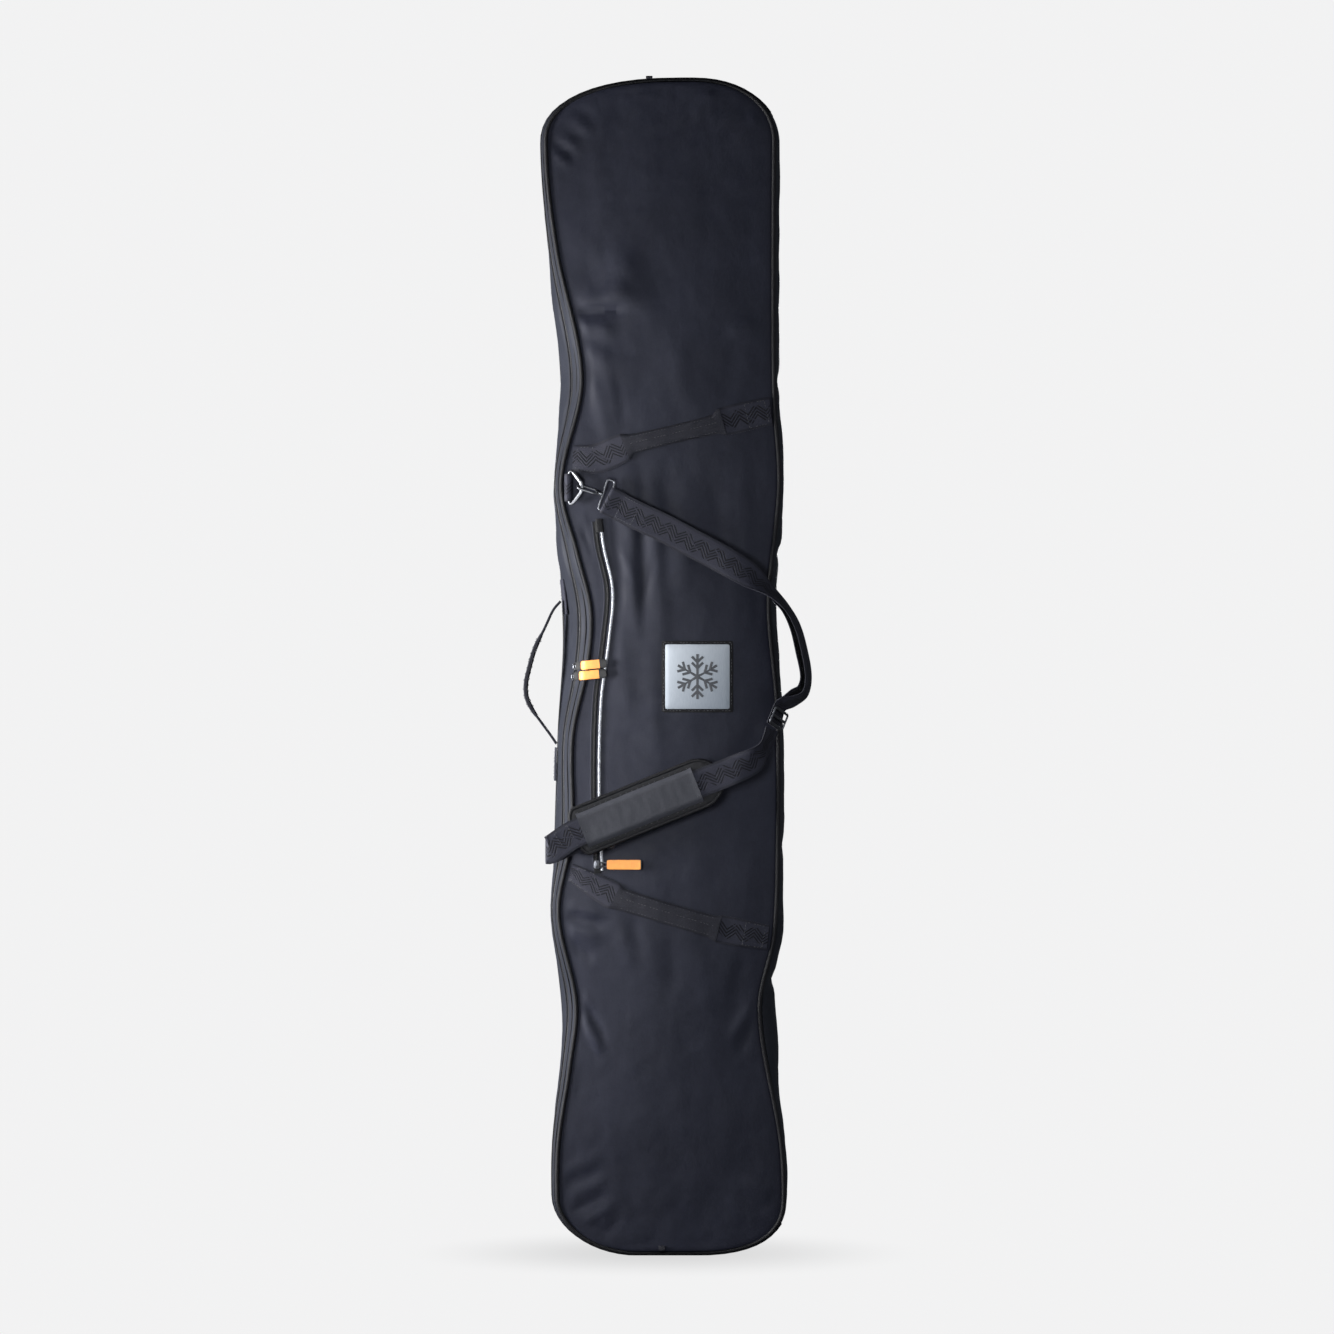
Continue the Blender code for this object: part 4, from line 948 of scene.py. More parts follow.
def build_body():
    slate = (NAVY, LINING)
    front = panel_cloth("front_panel_cloth", FRONT_LEFT, FRONT_RIGHT, -1, front_lift, 104, slate)
    put(front, "lid", "navy_fabric", "front_panel")
    back = panel_cloth("back_panel_cloth", BACK_LEFT, BACK_RIGHT, 1, back_lift, 60, slate)
    put(back, "shell", "navy_fabric", "back_panel")
    around = zip_indices()
    side = (SIDE_NAVY, LINING)
    strip = gusset_cloth("gusset_front_cloth", around, spread(0.030, 0.208, 10), side, flat=(0.190, 0.196))
    put(strip, "lid", "navy_fabric", "gusset_front_strip")
    places = [*spread(0.272, 0.36, 5), *spread(0.38, 0.97, 26)]
    rear = gusset_cloth("gusset_rear_cloth", around, places, side, flat=(0.284, 0.290))
    put(rear, "shell", "navy_fabric", "gusset_rear")
    right = range(RIGHT_FROM, RIGHT_TO + 1)
    hinge = gusset_cloth("gusset_side_cloth", right, spread(0.030, 0.97, 44), side)
    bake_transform(hinge)
    for name, points, sign, body in (
        ("front_piping_cord", FRONTS, -1, "lid"), ("back_piping_cord", BACKS, 1, "shell"),
    ):
        ring = [Vector((x, sign * half_depth(z), z)) for x, z, _, _ in points]
        frames = carried_frames(ring, cyclic=True)
        cord = sweep(name, frames, circle(PIPING_RADIUS, 12), BINDING, cyclic=True)
        put(cord, body, "black_binding", name.replace("_cord", ""))
    # the welts beside the piping and along the zip, seen as thin dark lines on the sides
    for name, place, body, above in (
        ("front_welt", 0.088, "lid", 0.0004), ("zip_welt_front", 0.200, "lid", 0.0002),
        ("zip_welt_rear", 0.280, "shell", 0.0008), ("rear_welt", 0.930, "shell", 0.0002),
    ):
        put(welt(name, around, place, above), body, "black_binding")
    build_linings()
    build_end_tabs()


def build_linings():
    """Quilted linings behind the panels: soft channels run down them between rows of stitches."""

    def channel(x):
        return CHANNEL_DEPTH * abs(math.sin(x * math.pi / CHANNEL_PITCH)) ** 0.6

    for name, left, right, sign, start, body in (
        ("back_lining_quilt", BACK_LEFT, BACK_RIGHT, 1, 0.0055, "shell"),
        ("front_lining_quilt", FRONT_LEFT, FRONT_RIGHT, -1, 0.0092, "lid"),
    ):
        surface = front_y if sign < 0 else back_y
        outer, inner = [], []
        for z, left_inset, right_inset, *_ in side_rows(LINING_MARGIN):
            low = smooth(left, z) + LINING_MARGIN + left_inset
            high = smooth(right, z) - LINING_MARGIN - right_inset
            xs = spread(low, high, 48)
            near = [ease(edge_distance(x, z, left, right) - LINING_MARGIN, 0.0, 0.012) for x in xs]
            depths = [start + LINING_THICK + channel(x) * n for x, n in zip(xs, near)]
            outer.append([Vector((x, surface(x, z) - sign * depth, z)) for x, depth in zip(xs, depths)])
            inner.append([Vector((x, surface(x, z) - sign * start, z)) for x in xs])
        quilt = shell_mesh(name, outer, inner, LINING)
        put(quilt, body, "grey_lining", name.replace("_quilt", ""))
    grids = ([], [])
    for z in spread(0.50, 1.09, 60):
        xs = spread(-0.100, smooth(FRONT_RIGHT, z) - 0.030, 24)
        for grid, depth in zip(grids, (0.0068, 0.0076)):
            ys = [front_y(x, z) + depth + 0.0003 * ripple(x, 5.0, z, 0.03) for x in xs]
            grid.append([Vector((x, y, z)) for x, y in zip(xs, ys)])
    put(shell_mesh("pocket_lining_cloth", *grids, LINING), "lid", "grey_lining", "pocket_lining")


def build_end_tabs():
    """Little folded loops of tape sewn into the seam at the middle of the top and of the base."""
    for name in ("end_tab_top", "end_tab_bottom"):
        low, high = (Vector(corner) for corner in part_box(name))
        middle, size = (low + high) / 2, high - low
        up = 1 if name == "end_tab_top" else -1
        rise = size.z * 0.34
        middle.z -= up * size.z * 0.42
        arch = ((-1, -1), (-1, 0.0), (-0.9, 0.6), (0, 1.0), (0.9, 0.6), (1, 0.0), (1, -1))
        places = [middle + Vector((0, dy * size.y * 0.28, up * dz * rise)) for dy, dz in arch]
        carried = carried_frames(refined(places, 0.0006), (0, -1, 0))
        frames = [(p, Vector((1, 0, 0)), n) for p, _, n in carried]
        tab = sweep(name + "_loop", frames, band(size.x / 2 - 0.0003, 0.0009), PLAIN_WEBBING)
        put(tab, "lid", "black_binding", name)


# ---- zips and their pulls ----


def box_rows(name, places, size, material):
    """Many small rounded blocks in one mesh: places are (centre, along, across, out)."""
    verts, faces = [], []
    corners = [(-1, -1), (1, -1), (1, 1), (-1, 1)]
    for centre, along, across_, out in places:
        base = len(verts)
        for level, shrink in ((0.0, 1.0), (0.6, 1.0), (1.0, 0.55)):
            for a, b in corners:
                verts.append(
                    centre + along * (a * size[0] / 2 * shrink) + across_ * (b * size[1] / 2 * shrink)
                    + out * (size[2] * level)
                )
        for level in (0, 4):
            for j in range(4):
                k = (j + 1) % 4
                faces.append((base + level + j, base + level + k, base + level + 4 + k, base + level + 4 + j))
        faces += [(base + 3, base + 2, base + 1, base), (base + 8, base + 9, base + 10, base + 11)]
    return mesh_object(name, verts, faces, material, angle=35)


def tooth_places(line, pitch, shift):
    """Alternate tooth places on each side of a line of (point, out) pairs."""
    sides = ([], [])
    run, count = 0.0, 0
    for (start, out), (end, _) in zip(line, line[1:]):
        span = (end - start).length
        along = (end - start).normalized()
        across_ = along.cross(out).normalized()
        across_ = across_ if across_.y + across_.x * 0.2 > 0 else -across_
        while run < span:
            which = count % 2
            centre = start + along * run + across_ * (shift if which else -shift)
            sides[which].append((centre, along, across_, out))
            count += 1
            run += pitch
        run -= span
    return sides


def build_main_zip():
    around = zip_indices()
    for name, places, body in (
        ("zip_tape_front_cloth", (0.2055, 0.214, 0.226, 0.2385), "lid"),
        ("zip_tape_rear_cloth", (0.2415, 0.254, 0.266, 0.2745), "shell"),
    ):
        outer, inner = [], []
        for k in around:
            outer.append([gusset_at(FRONTS[k], BACKS[k], p, -0.0006) for p in places])
            inner.append([gusset_at(FRONTS[k], BACKS[k], p, -0.0014) for p in places])
        tape = shell_mesh(name, outer, inner, (ZIP_TAPE, ZIP_TAPE))
        put(tape, body, "zip_black", name.replace("_cloth", ""))
    line = [
        (gusset_at(FRONTS[k], BACKS[k], ZIP_PLACE, -0.0006), Vector((FRONTS[k][2], 0.0, FRONTS[k][3])))
        for k in around
    ]
    front, rear = tooth_places(line, MAIN_TOOTH_PITCH, 0.0008)
    put(box_rows("zip_teeth_front", front, MAIN_TOOTH, COIL), "lid", "zip_black")
    put(box_rows("zip_teeth_rear", rear, MAIN_TOOTH, COIL), "shell", "zip_black")


def plate(name, outline_points, bottom, top, matrix, material, bevel=0.0005):
    """A small flat plate with round edges, from its plan."""
    bm = bmesh.new()
    face = bm.faces.new([bm.verts.new((a, b, bottom)) for a, b in outline_points])
    made = bmesh.ops.extrude_face_region(bm, geom=[face])["geom"]
    raised = [part for part in made if isinstance(part, bmesh.types.BMVert)]
    bmesh.ops.translate(bm, vec=(0, 0, top - bottom), verts=raised)
    bmesh.ops.bevel(bm, geom=bm.edges[:], offset=bevel, segments=3, profile=0.6, affect="EDGES")
    bmesh.ops.transform(bm, matrix=matrix, verts=bm.verts)
    bmesh.ops.recalc_face_normals(bm, faces=bm.faces)
    mesh = bpy.data.meshes.new(name)
    bm.to_mesh(mesh)
    bm.free()
    mesh.materials.append(material)
    mesh.shade_smooth()
    mesh.set_sharp_from_angle(angle=math.radians(35))
    obj = bpy.data.objects.new(name, mesh)
    bpy.context.scene.collection.objects.link(obj)
    return obj


def frame_matrix(centre, x_axis, y_axis, z_axis):
    return Matrix.Translation(centre) @ Matrix((x_axis, y_axis, z_axis)).transposed().to_4x4()


def slider_piece(name, centre, along, out, material):
    """A zip slider: two shield-shaped plates, the post between them and the bridge for the link."""
    matrix = frame_matrix(centre, along.cross(out), along, out)
    shield = [
        (-0.0030, -0.0058), (0.0030, -0.0058), (0.0041, -0.0040), (0.0042, 0.0022), (0.0026, 0.0058),
        (-0.0026, 0.0058), (-0.0042, 0.0022), (-0.0041, -0.0040),
    ]
    parts = [plate(name, shield, 0.0000, 0.0011, matrix, material, 0.0004)]
    smaller = [(a * 0.98, b * 0.98) for a, b in shield]
    parts.append(plate(name + "_top", smaller, 0.0016, 0.0027, matrix, material, 0.0004))
    post = [(-0.0014, 0.0012), (0.0014, 0.0012), (0.0022, 0.0046), (-0.0022, 0.0046)]
    parts.append(plate(name + "_post", post, 0.0008, 0.0019, matrix, material, 0.0002))
    arch = [
        (-0.0044, 0.0024), (-0.0036, 0.0036), (-0.0016, 0.0041), (0.0012, 0.0041), (0.0034, 0.0036),
        (0.0042, 0.0024),
    ]
    places = refined([matrix @ Vector((0, along_, up)) for along_, up in arch], 0.0004)
    bridge = carried_frames(places, up=tuple(out))
    parts.append(sweep(name + "_bridge", bridge, band(0.0012, 0.0008, 0.0002, 4), material))
    return join(name, parts)


def pull_frames(points):
    """Frames along a line that lies level, with their sides upright."""
    places = refined(points, 0.0008)
    frames = []
    for i, place in enumerate(places):
        along = (places[min(i + 1, len(places) - 1)] - places[max(i - 1, 0)]).normalized()
        side = (Vector((0, 0, 1)) - along * along.z).normalized()
        frames.append((place, side, along.cross(side).normalized()))
    return frames


def pull_tab(name, frames, half, thick, tip_share):
    """A moulded pull: an orange grip with a rim and grooves, and a black tip."""
    count = len(frames)
    tip = round(count * (1 - tip_share))
    ends = [min(1.0, 0.80 + 0.20 * math.sqrt(min(i, count - 1 - i) / 5)) for i in range(count)]
    grip = sweep(name, frames[: tip + 1], band(half, thick, 0.0001), ORANGE, widths=ends[: tip + 1])
    parts = [grip]
    if tip < count - 2:
        tall = [1.12] * (count - tip)
        wide = [e * 1.03 for e in ends[tip:]]
        section = band(half, thick, 0.0001)
        parts.append(sweep(name + "_tip", frames[tip:], section, BLACK_PLASTIC, widths=wide, heights=tall))
    for side_share in (-0.82, 0.82):
        rim = [(c + s * (half * side_share) + n * (thick * 0.46), s, n) for c, s, n in frames[3 : tip - 1]]
        parts.append(sweep(name + "_rim", rim, circle(0.0005, 6, 0.7), ORANGE))
    # grooved bars near the free end of the grip, where it is held
    for k in range(4):
        c, s, n = frames[min(tip - 3, round(tip * (0.62 + 0.09 * k)))]
        bar = [c + s * (half * 0.55 * e) + n * (thick * 0.48) for e in spread(-1.0, 1.0, 4)]
        parts.append(sweep(name + "_bar", carried_frames(bar, up=tuple(n)), circle(0.0004, 6, 0.8), ORANGE))
    return join(name, parts)


def link_piece(name, start, end, half, material):
    """A wire loop between a slider's bridge and its tab."""
    along = (end - start).normalized()
    side = (Vector((0, 0, 1)) - along * along.z).normalized()
    back = 0.0004
    ring = [
        start + side * half * 0.8 - along * back, end + side * half, end + along * 0.0010,
        end - side * half, start - side * half * 0.8 - along * back, start - along * 0.0012,
    ]
    up = tuple(along.cross(side))
    return rod(name, ring, 0.00075, material, cyclic=True, step=0.0006, sides=8, up=up)


def build_main_pulls():
    for which, z in zip(("upper", "lower"), MAIN_SLIDERS_Z):
        centre, along, out = zip_frame(z)
        slider = slider_piece(f"slider_{which}", centre + out * 0.0012, along, out, GREY_METAL)
        put(slider, f"main_slider_{which}", "dark_metal", f"zip_slider_{which}")
        pivot = centre + out * 0.0076
        edge = (smooth(FRONT_LEFT, z), -half_depth(z))
        end = -0.0820
        route = [
            Vector((pivot.x, pivot.y, z)), Vector((edge[0] - 0.0100, edge[1] + 0.0035, z)),
            Vector((edge[0] - 0.0072, edge[1] - 0.0035, z)), Vector((edge[0] - 0.0010, edge[1] - 0.0085, z)),
            Vector((end, front_y(end, z) - 0.0062, z)),
        ]
        far = route[0] + (route[1] - route[0]) * 0.52
        tab_route = [far, *route[1:]]
        tilt = 0.10
        tab_route = [p + Vector((0, 0, tilt * max(0.0, p.x - route[0].x))) for p in tab_route]
        ends = (centre + out * 0.0052, far + Vector((0, 0, 0.0002)))
        link = link_piece(f"pull_link_{which}", *ends, 0.0026, GREY_METAL)
        put(link, f"main_pull_{which}", "black_binding", f"zip_link_{which}")
        frames = pull_frames(tab_route)
        head = round(len(frames) * 0.30)
        collar = sweep(f"pull_collar_{which}", frames[: head + 1], band(0.0056, 0.0021), BLACK_PLASTIC)
        tab = pull_tab(f"pull_tab_{which}", frames[head:], 0.0062, 0.0018, 0.26)
        tab = join(f"pull_tab_{which}", [tab, collar])
        put(tab, f"main_pull_{which}", "orange_rubber", f"zip_tab_{which}")


def route_point(z, side, lift):
    x = smooth(POCKET_ROUTE, z) + side
    return Vector((x, cloth_y(x, z) - lift, z))


def facing_front(points):
    """Frames of a flat strip that runs up the front panel."""
    return [(point, Vector((1, 0, 0)), Vector((0, -1, 0))) for point in points]


def build_pocket():
    heights = spread(POCKET_ROUTE[0][0], POCKET_ROUTE[-1][0], 200)
    centre = [route_point(z, CHAIN_SIDE, 0.0004) for z in heights]
    tape = facing_front([route_point(z, CHAIN_SIDE, 0.0003) for z in heights])
    strip = sweep("pocket_chain_tape", tape, band(0.0042, 0.0007), ZIP_TAPE)
    left, right = tooth_places([(p, Vector((0, -1, 0))) for p in centre], POCKET_TOOTH_PITCH, 0.0006)
    teeth = box_rows("pocket_teeth", left + right, POCKET_TOOTH, COIL)
    put(join("pocket_chain_detail", [strip, teeth]), "lid", "zip_black", "pocket_zip_chain")
    lips = []
    for side, radius in ((CHAIN_SIDE - 0.0046, 0.0009), (CHAIN_SIDE + 0.0046, 0.0007)):
        line = [route_point(z, side, 0.0005) for z in heights[::4]]
        lips.append(rod("lip", line, radius, NAVY, step=0.003, sides=6))
    put(join("pocket_lips", lips), "lid", "navy_fabric")
    shine = facing_front([route_point(z, PIPING_SIDE, 0.0018) for z in heights[:-6]])
    cord = sweep("reflective_cord", shine, circle(0.0021, 10, 0.72), SILVER)
    put(cord, "lid", "reflective_silver", "reflective_piping")
    top = [route_point(z, PIPING_SIDE - 0.002, 0.0016) for z in spread(1.031, 1.050, 8)]
    stop = sweep("pocket_top_stop", facing_front(top), band(0.0052, 0.0028, 0.0004), BINDING)
    put(stop, "lid", "black_binding")
    foot = [route_point(z, CHAIN_SIDE + 0.001, 0.0010) for z in spread(0.546, 0.5515, 4)]
    end = sweep("pocket_foot_stop", facing_front(foot), band(0.0050, 0.0018), BINDING)
    put(end, "lid", "black_binding")
    x = smooth(POCKET_ROUTE, POCKET_SLIDER_Z) + CHAIN_SIDE
    base = Vector((x, front_y(x, POCKET_SLIDER_Z) - 0.0028, POCKET_SLIDER_Z))
    slider = slider_piece("pocket_slider_detail", base, Vector((0, 0, 1)), Vector((0, -1, 0)), GREY_METAL)
    put(slider, "pocket_slider", "dark_metal", "pocket_slider")
    px = base.x + 0.0060
    pivot = Vector((px, front_y(px, POCKET_SLIDER_Z) - 0.0056, POCKET_SLIDER_Z))
    end_x = base.x + 0.0640
    end_y = front_y(end_x, POCKET_SLIDER_Z) - 0.0056
    slope = (end_y - pivot.y) / (end_x - pivot.x)

    def place(at):
        return Vector((at, pivot.y + slope * (at - pivot.x), POCKET_SLIDER_Z))

    link = link_piece("pocket_pull_link", place(px - 0.0034), place(base.x + 0.0155), 0.0024, GREY_METAL)
    put(link, "pocket_pull", "black_binding", "pocket_link")
    frames = pull_frames([place(v) for v in spread(base.x + 0.0145, end_x, 6)])
    tab = pull_tab("pocket_pull_tab", frames, 0.0068, 0.0018, 0.04)
    put(tab, "pocket_pull", "orange_rubber", "pocket_tab")
    # a small bow of cord ties the pull to the slider
    turns = spread(0, 2 * math.pi, 12)[:-1]
    knot = [pivot + Vector((0.0026 * math.cos(t), -0.0016, 0.0034 * math.sin(t))) for t in turns]
    bow = rod("pocket_pull_cord", knot, 0.0007, BLACK_PLASTIC, cyclic=True, step=0.0008, sides=8)
    put(bow, "pocket_pull", "black_binding")


# ---- webbing ----

UPPER_HAUL = [
    (-0.130, 1.137, 0.018), (-0.095, 1.136, 0.021), (-0.056, 1.152, 0.020), (-0.045, 1.156, 0.014),
    (0.072, 1.184, 0.014), (0.084, 1.188, 0.020), (0.1520, 1.204, 0.020),
]
LOWER_HAUL = [
    (-0.133, 0.548, 0.012), (-0.075, 0.516, 0.020), (-0.060, 0.509, 0.016), (0.066, 0.471, 0.016),
    (0.080, 0.467, 0.020), (0.1480, 0.454, 0.018),
]


def haul_surface(route, start, end, lift, material, name, thick=0.0018, crown=0.0):
    """A strap sewn flat on the panel: its cloth follows the folds that lie under it."""
    table_z = [(x, z) for x, z, _ in route]
    table_w = [(x, w) for x, _, w in route]
    outer, inner, uvs, run, last = [], [], [], 0.0, None
    xs = spread(start, end, round((end - start) / 0.0028))
    for x in xs:
        z, half = smooth(table_z, x), smooth(table_w, x)
        slope = (smooth(table_z, x + 0.002) - smooth(table_z, x - 0.002)) / 0.004
        along = Vector((1, slope)).normalized()
        side = Vector((-along.y, along.x))
        run += math.hypot(x - last[0], z - last[1]) if last else 0.0
        last = (x, z)
        tops, lows = [], []
        for share in spread(-1.0, 1.0, 12):
            px, pz = x + side.x * half * share, z + side.y * half * share
            under = cloth_y(px, pz)
            level = lift + thick * (1.0 if abs(share) < 0.97 else 0.5) + crown * (1 - share**2)
            tops.append(Vector((px, under - level, pz)))
            lows.append(Vector((px, under - lift * 0.4, pz)))
            uvs.append((run, share))
        outer.append(tops)
        inner.append(lows)
    return shell_mesh(name, outer, inner, (material, material), uvs + uvs)


def stitched_line(name, points, lift):
    """Stitches along (x, z) points on the front panel, this far above its cloth."""
    dense = []
    for (x0, z0), (x1, z1) in zip(points, points[1:]):
        count = max(1, round(math.hypot(x1 - x0, z1 - z0) / 0.006))
        dense += [(x0 + (x1 - x0) * k / count, z0 + (z1 - z0) * k / count) for k in range(count)]
    dense.append(points[-1])
    places = [Vector((x, cloth_y(x, z) - lift, z)) for x, z in dense]
    return stitches(name, places, [cloth_normal(x, z) for x, z in dense])


def haul_box(name, route, start, end):
    """The box of stitches that holds a strap's end to the panel."""
    table_z, table_w = [(x, z) for x, z, _ in route], [(x, w) for x, _, w in route]

    def corner(x, share):
        slope = (smooth(table_z, x + 0.002) - smooth(table_z, x - 0.002)) / 0.004
        side = Vector((-slope, 1)).normalized() * smooth(table_w, x) * share
        return (x + side.x, smooth(table_z, x) + side.y)

    ring = [corner(start, -0.84), corner(start, 0.84)]
    ring += [corner(x, 0.84) for x in spread(start, end, 4)[1:]]
    ring += [corner(x, -0.84) for x in reversed(spread(start, end, 4))]
    return stitched_line(name, ring, 0.0025)


def build_hauls():
    for which, route, bends in (
        ("upper", UPPER_HAUL, (-0.1300, -0.0480, 0.0760, 0.1520)),
        ("lower", LOWER_HAUL, (-0.1330, -0.0620, 0.0700, 0.1480)),
    ):
        left = haul_surface(route, bends[0], bends[1], 0.0006, WEBBING, f"haul_{which}_left", crown=0.0012)
        ends = (bends[1] - 0.008, bends[2] + 0.008)
        grip = haul_surface(route, *ends, 0.0012, PLAIN_WEBBING, f"haul_{which}_grip", 0.0022, 0.0024)
        right = haul_surface(route, bends[2], bends[3], 0.0006, WEBBING, f"haul_{which}_right", crown=0.0006)
        put(join(f"haul_{which}_web", [left, right, grip]), "lid", "charcoal_webbing", f"haul_strap_{which}")
        table_z, table_w = [(x, z) for x, z, _ in route], [(x, w) for x, _, w in route]
        seams = []
        for share in (-0.80, 0.80, 0.12):
            xs = spread(bends[1], bends[2], 24)
            line = [(x, smooth(table_z, x) + smooth(table_w, x) * share) for x in xs]
            lift = 0.0038 if abs(share) > 0.5 else 0.0058
            seams.append(stitched_line(f"haul_{which}_seam", line, lift))
        seams.append(haul_box(f"haul_{which}_box_left", route, bends[0] + 0.006, bends[0] + 0.030))
        seams.append(haul_box(f"haul_{which}_box_right", route, bends[3] - 0.034, bends[3] - 0.006))
        put(join(f"haul_{which}_stitches", seams), "lid", "charcoal_webbing")


# ---- label ----


def rounded_square(u, v, half, corner):
    """Where this place of a square, from -1 to 1 each way, falls on a square with round corners."""
    x, z = u * half, v * half
    over_x, over_z = abs(x) - (half - corner), abs(z) - (half - corner)
    if over_x > 0 and over_z > 0:
        scale = max(over_x, over_z) / math.hypot(over_x, over_z)
        x = math.copysign(half - corner + over_x * scale, x)
        z = math.copysign(half - corner + over_z * scale, z)
    return x, z


def label_layer(name, half, near, thick, corner, material, dome=0.0):
    """A square sheet on the front panel: its half width, how near and thick it is, its corners."""
    outer, inner = [], []
    for v in spread(-1.0, 1.0, LABEL_STEPS):
        tops, lows = [], []
        for u in spread(-1.0, 1.0, LABEL_STEPS):
            dx, dz = rounded_square(u, v, half, corner)
            x, z = LABEL_CENTRE[0] + dx, LABEL_CENTRE[1] + dz
            y = front_y(x, z)
            out = max(abs(u), abs(v))
            rim = thick * (0.55 if out > 0.999 else 1.0) + dome * (1 - out**6)
            tops.append(Vector((x, y - near - rim, z)))
            lows.append(Vector((x, y - near, z)))
        outer.append(tops)
        inner.append(lows)
    return shell_mesh(name, outer, inner, (material, material))


def build_label():
    backing = label_layer("label_backing_cloth", 0.0508, 0.0003, 0.0014, 0.0022, BINDING)
    put(backing, "lid", "black_binding", "label_backing")
    face = label_layer("label_face_plate", 0.0458, 0.0018, 0.0009, 0.0018, LABEL_SILVER, dome=0.0004)
    put(face, "lid", "reflective_silver", "label_face")
    places, normals = [], []
    for start, end in (((-1, -1), (1, -1)), ((1, -1), (1, 1)), ((1, 1), (-1, 1)), ((-1, 1), (-1, -1))):
        for share in spread(0.0, 1.0, 18):
            dx, dz = ((a + (b - a) * share) * 0.0483 for a, b in zip(start, end))
            x, z = LABEL_CENTRE[0] + dx, LABEL_CENTRE[1] + dz
            places.append(Vector((x, front_y(x, z) - 0.0018, z)))
            normals.append(cloth_normal(x, z))
    put(stitches("label_stitches", places, normals), "lid", "black_binding")
    arms = []
    for k in range(6):
        turn = math.radians(90 + 60 * k)
        along = Vector((math.cos(turn), 0, math.sin(turn)))
        side = Vector((-math.sin(turn), 0, math.cos(turn)))
        lines = [(0.0, 0.0320, 0.0, 0.0)]
        for start in (0.0120, 0.0205):
            lines += [(start, start + 0.0080, 0.0, sign * 0.0080) for sign in (-1, 1)]
        for a0, a1, s0, s1 in lines:
            ends = []
            for a, s in ((a0, s0), (a1, s1)):
                p = Vector((LABEL_CENTRE[0], 0, LABEL_CENTRE[1])) + along * a + side * s
                ends.append(Vector((p.x, front_y(p.x, p.z) - 0.0031, p.z)))
            frames = carried_frames(refined(ends, 0.004))
            arms.append(sweep("arm", frames, band(0.0018, 0.0005, 0.0, 3), LABEL_MARK))
    put(join("label_snowflake", arms), "lid", "reflective_silver")


# ---- shoulder strap ----

STRAP_HALF, WEB_THICK = 0.020, 0.0018
STRAP_ANGLE, STRAP_Y = math.radians(22), -0.1024
PAD_CENTRE, PAD_HALF_LENGTH = (-0.0344, 0.640), 0.088
PAD_TIPS, PAD_HALF_WIDTH = (0.012, 0.034), 0.0335
PAD_FRONT_Y, PAD_EDGE_Y, PAD_BACK_Y = -0.1008, -0.0984, -0.0948
SLEEVE_FRONT_Y, SLEEVE_THICK = -0.1050, 0.0013
UPPER_STRAP = [
    (-0.0690, -0.0862, 1.0700, 0.0), (-0.0400, -0.0890, 1.0550, 0.0), (-0.0014, -0.0905, 1.0370, 0.0),
    (0.0370, -0.0912, 1.0165, 0.0), (0.0760, -0.0920, 0.9960, 0.05), (0.1160, -0.0935, 0.9727, 0.30),
    (0.1500, -0.0945, 0.9480, 0.68), (0.1740, -0.0935, 0.9240, 0.80), (0.1890, -0.0915, 0.8980, 0.80),
    (0.1990, -0.0895, 0.8637, 0.80), (0.2050, -0.0885, 0.8250, 0.80), (0.1998, -0.0890, 0.8010, 0.78),
    (0.1830, -0.0895, 0.7905, 0.70), (0.1663, -0.0900, 0.7850, 0.64), (0.1590, -0.0925, 0.7677, 0.64),
    (0.1543, -0.0942, 0.7554, 0.64),
]
DOUBLED_STRAP = [
    (0.1710, -0.0935, 0.9215, 0.80), (0.1830, -0.0915, 0.8955, 0.80), (0.1912, -0.0895, 0.8621, 0.80),
    (0.1980, -0.0885, 0.8270, 0.80), (0.1935, -0.0890, 0.8085, 0.78), (0.1840, -0.0895, 0.8020, 0.74),
]
DOUBLED_START = (0.1590, -0.0935, 0.9370, 0.74)
DOUBLED_END = [(0.1745, -0.0898, 0.7925, 0.70), (0.1665, -0.0905, 0.7850, 0.66)]
STRAP_TO_PAD = [
    (0.1532, -0.0948, 0.7512, 0.64), (0.1500, -0.0955, 0.7410, 0.66), (0.1415, -0.0972, 0.7235, 0.64),
    (0.1266, -0.0998, 0.7070, 0.34), (0.1000, -0.1024, 0.6945, 0.0),
]
FOLD_X, FOLD_Z, FOLD_RADIUS = -0.1615, 0.5800, 0.00595
UNDER_RUN = ((-0.120, 0.0), (-0.0770, 0.0090))
ADJUSTER_FRAME, ADJUSTER_LIFT = 14, 0.0050
ADJUSTER_WIDTH, ADJUSTER_LENGTH, ADJUSTER_ROD = 0.0460, 0.0260, 0.0018


def strap_line(along, y=STRAP_Y):
    return (PAD_CENTRE[0] + along * math.cos(STRAP_ANGLE), y, PAD_CENTRE[1] + along * math.sin(STRAP_ANGLE))


def lower_strap_stations():
    stations = STRAP_TO_PAD + [(*strap_line(along), 0.0) for along in spread(0.112, -0.100, 4)]
    middle = STRAP_Y + FOLD_RADIUS
    for k in range(7):
        turn = math.pi * k / 6
        x = FOLD_X - FOLD_RADIUS * math.sin(turn)
        stations.append((x, middle - FOLD_RADIUS * math.cos(turn), FOLD_Z, 0.0))
    return stations + [(x, middle + FOLD_RADIUS, LOWER_RING_Z + rise, 0.0) for x, rise in UNDER_RUN]


def strap_web(name, frames):
    """Woven strap with a rounded selvedge."""
    return sweep(name, frames, band(STRAP_HALF, WEB_THICK, 0.0, 10), WEBBING)


def on_strap(frames, share, start, end, lift):
    """Points this far across a strap, on its front face, between two of its frames."""
    return [c + s * (STRAP_HALF * share) + n * lift for c, s, n in frames[start:end]]


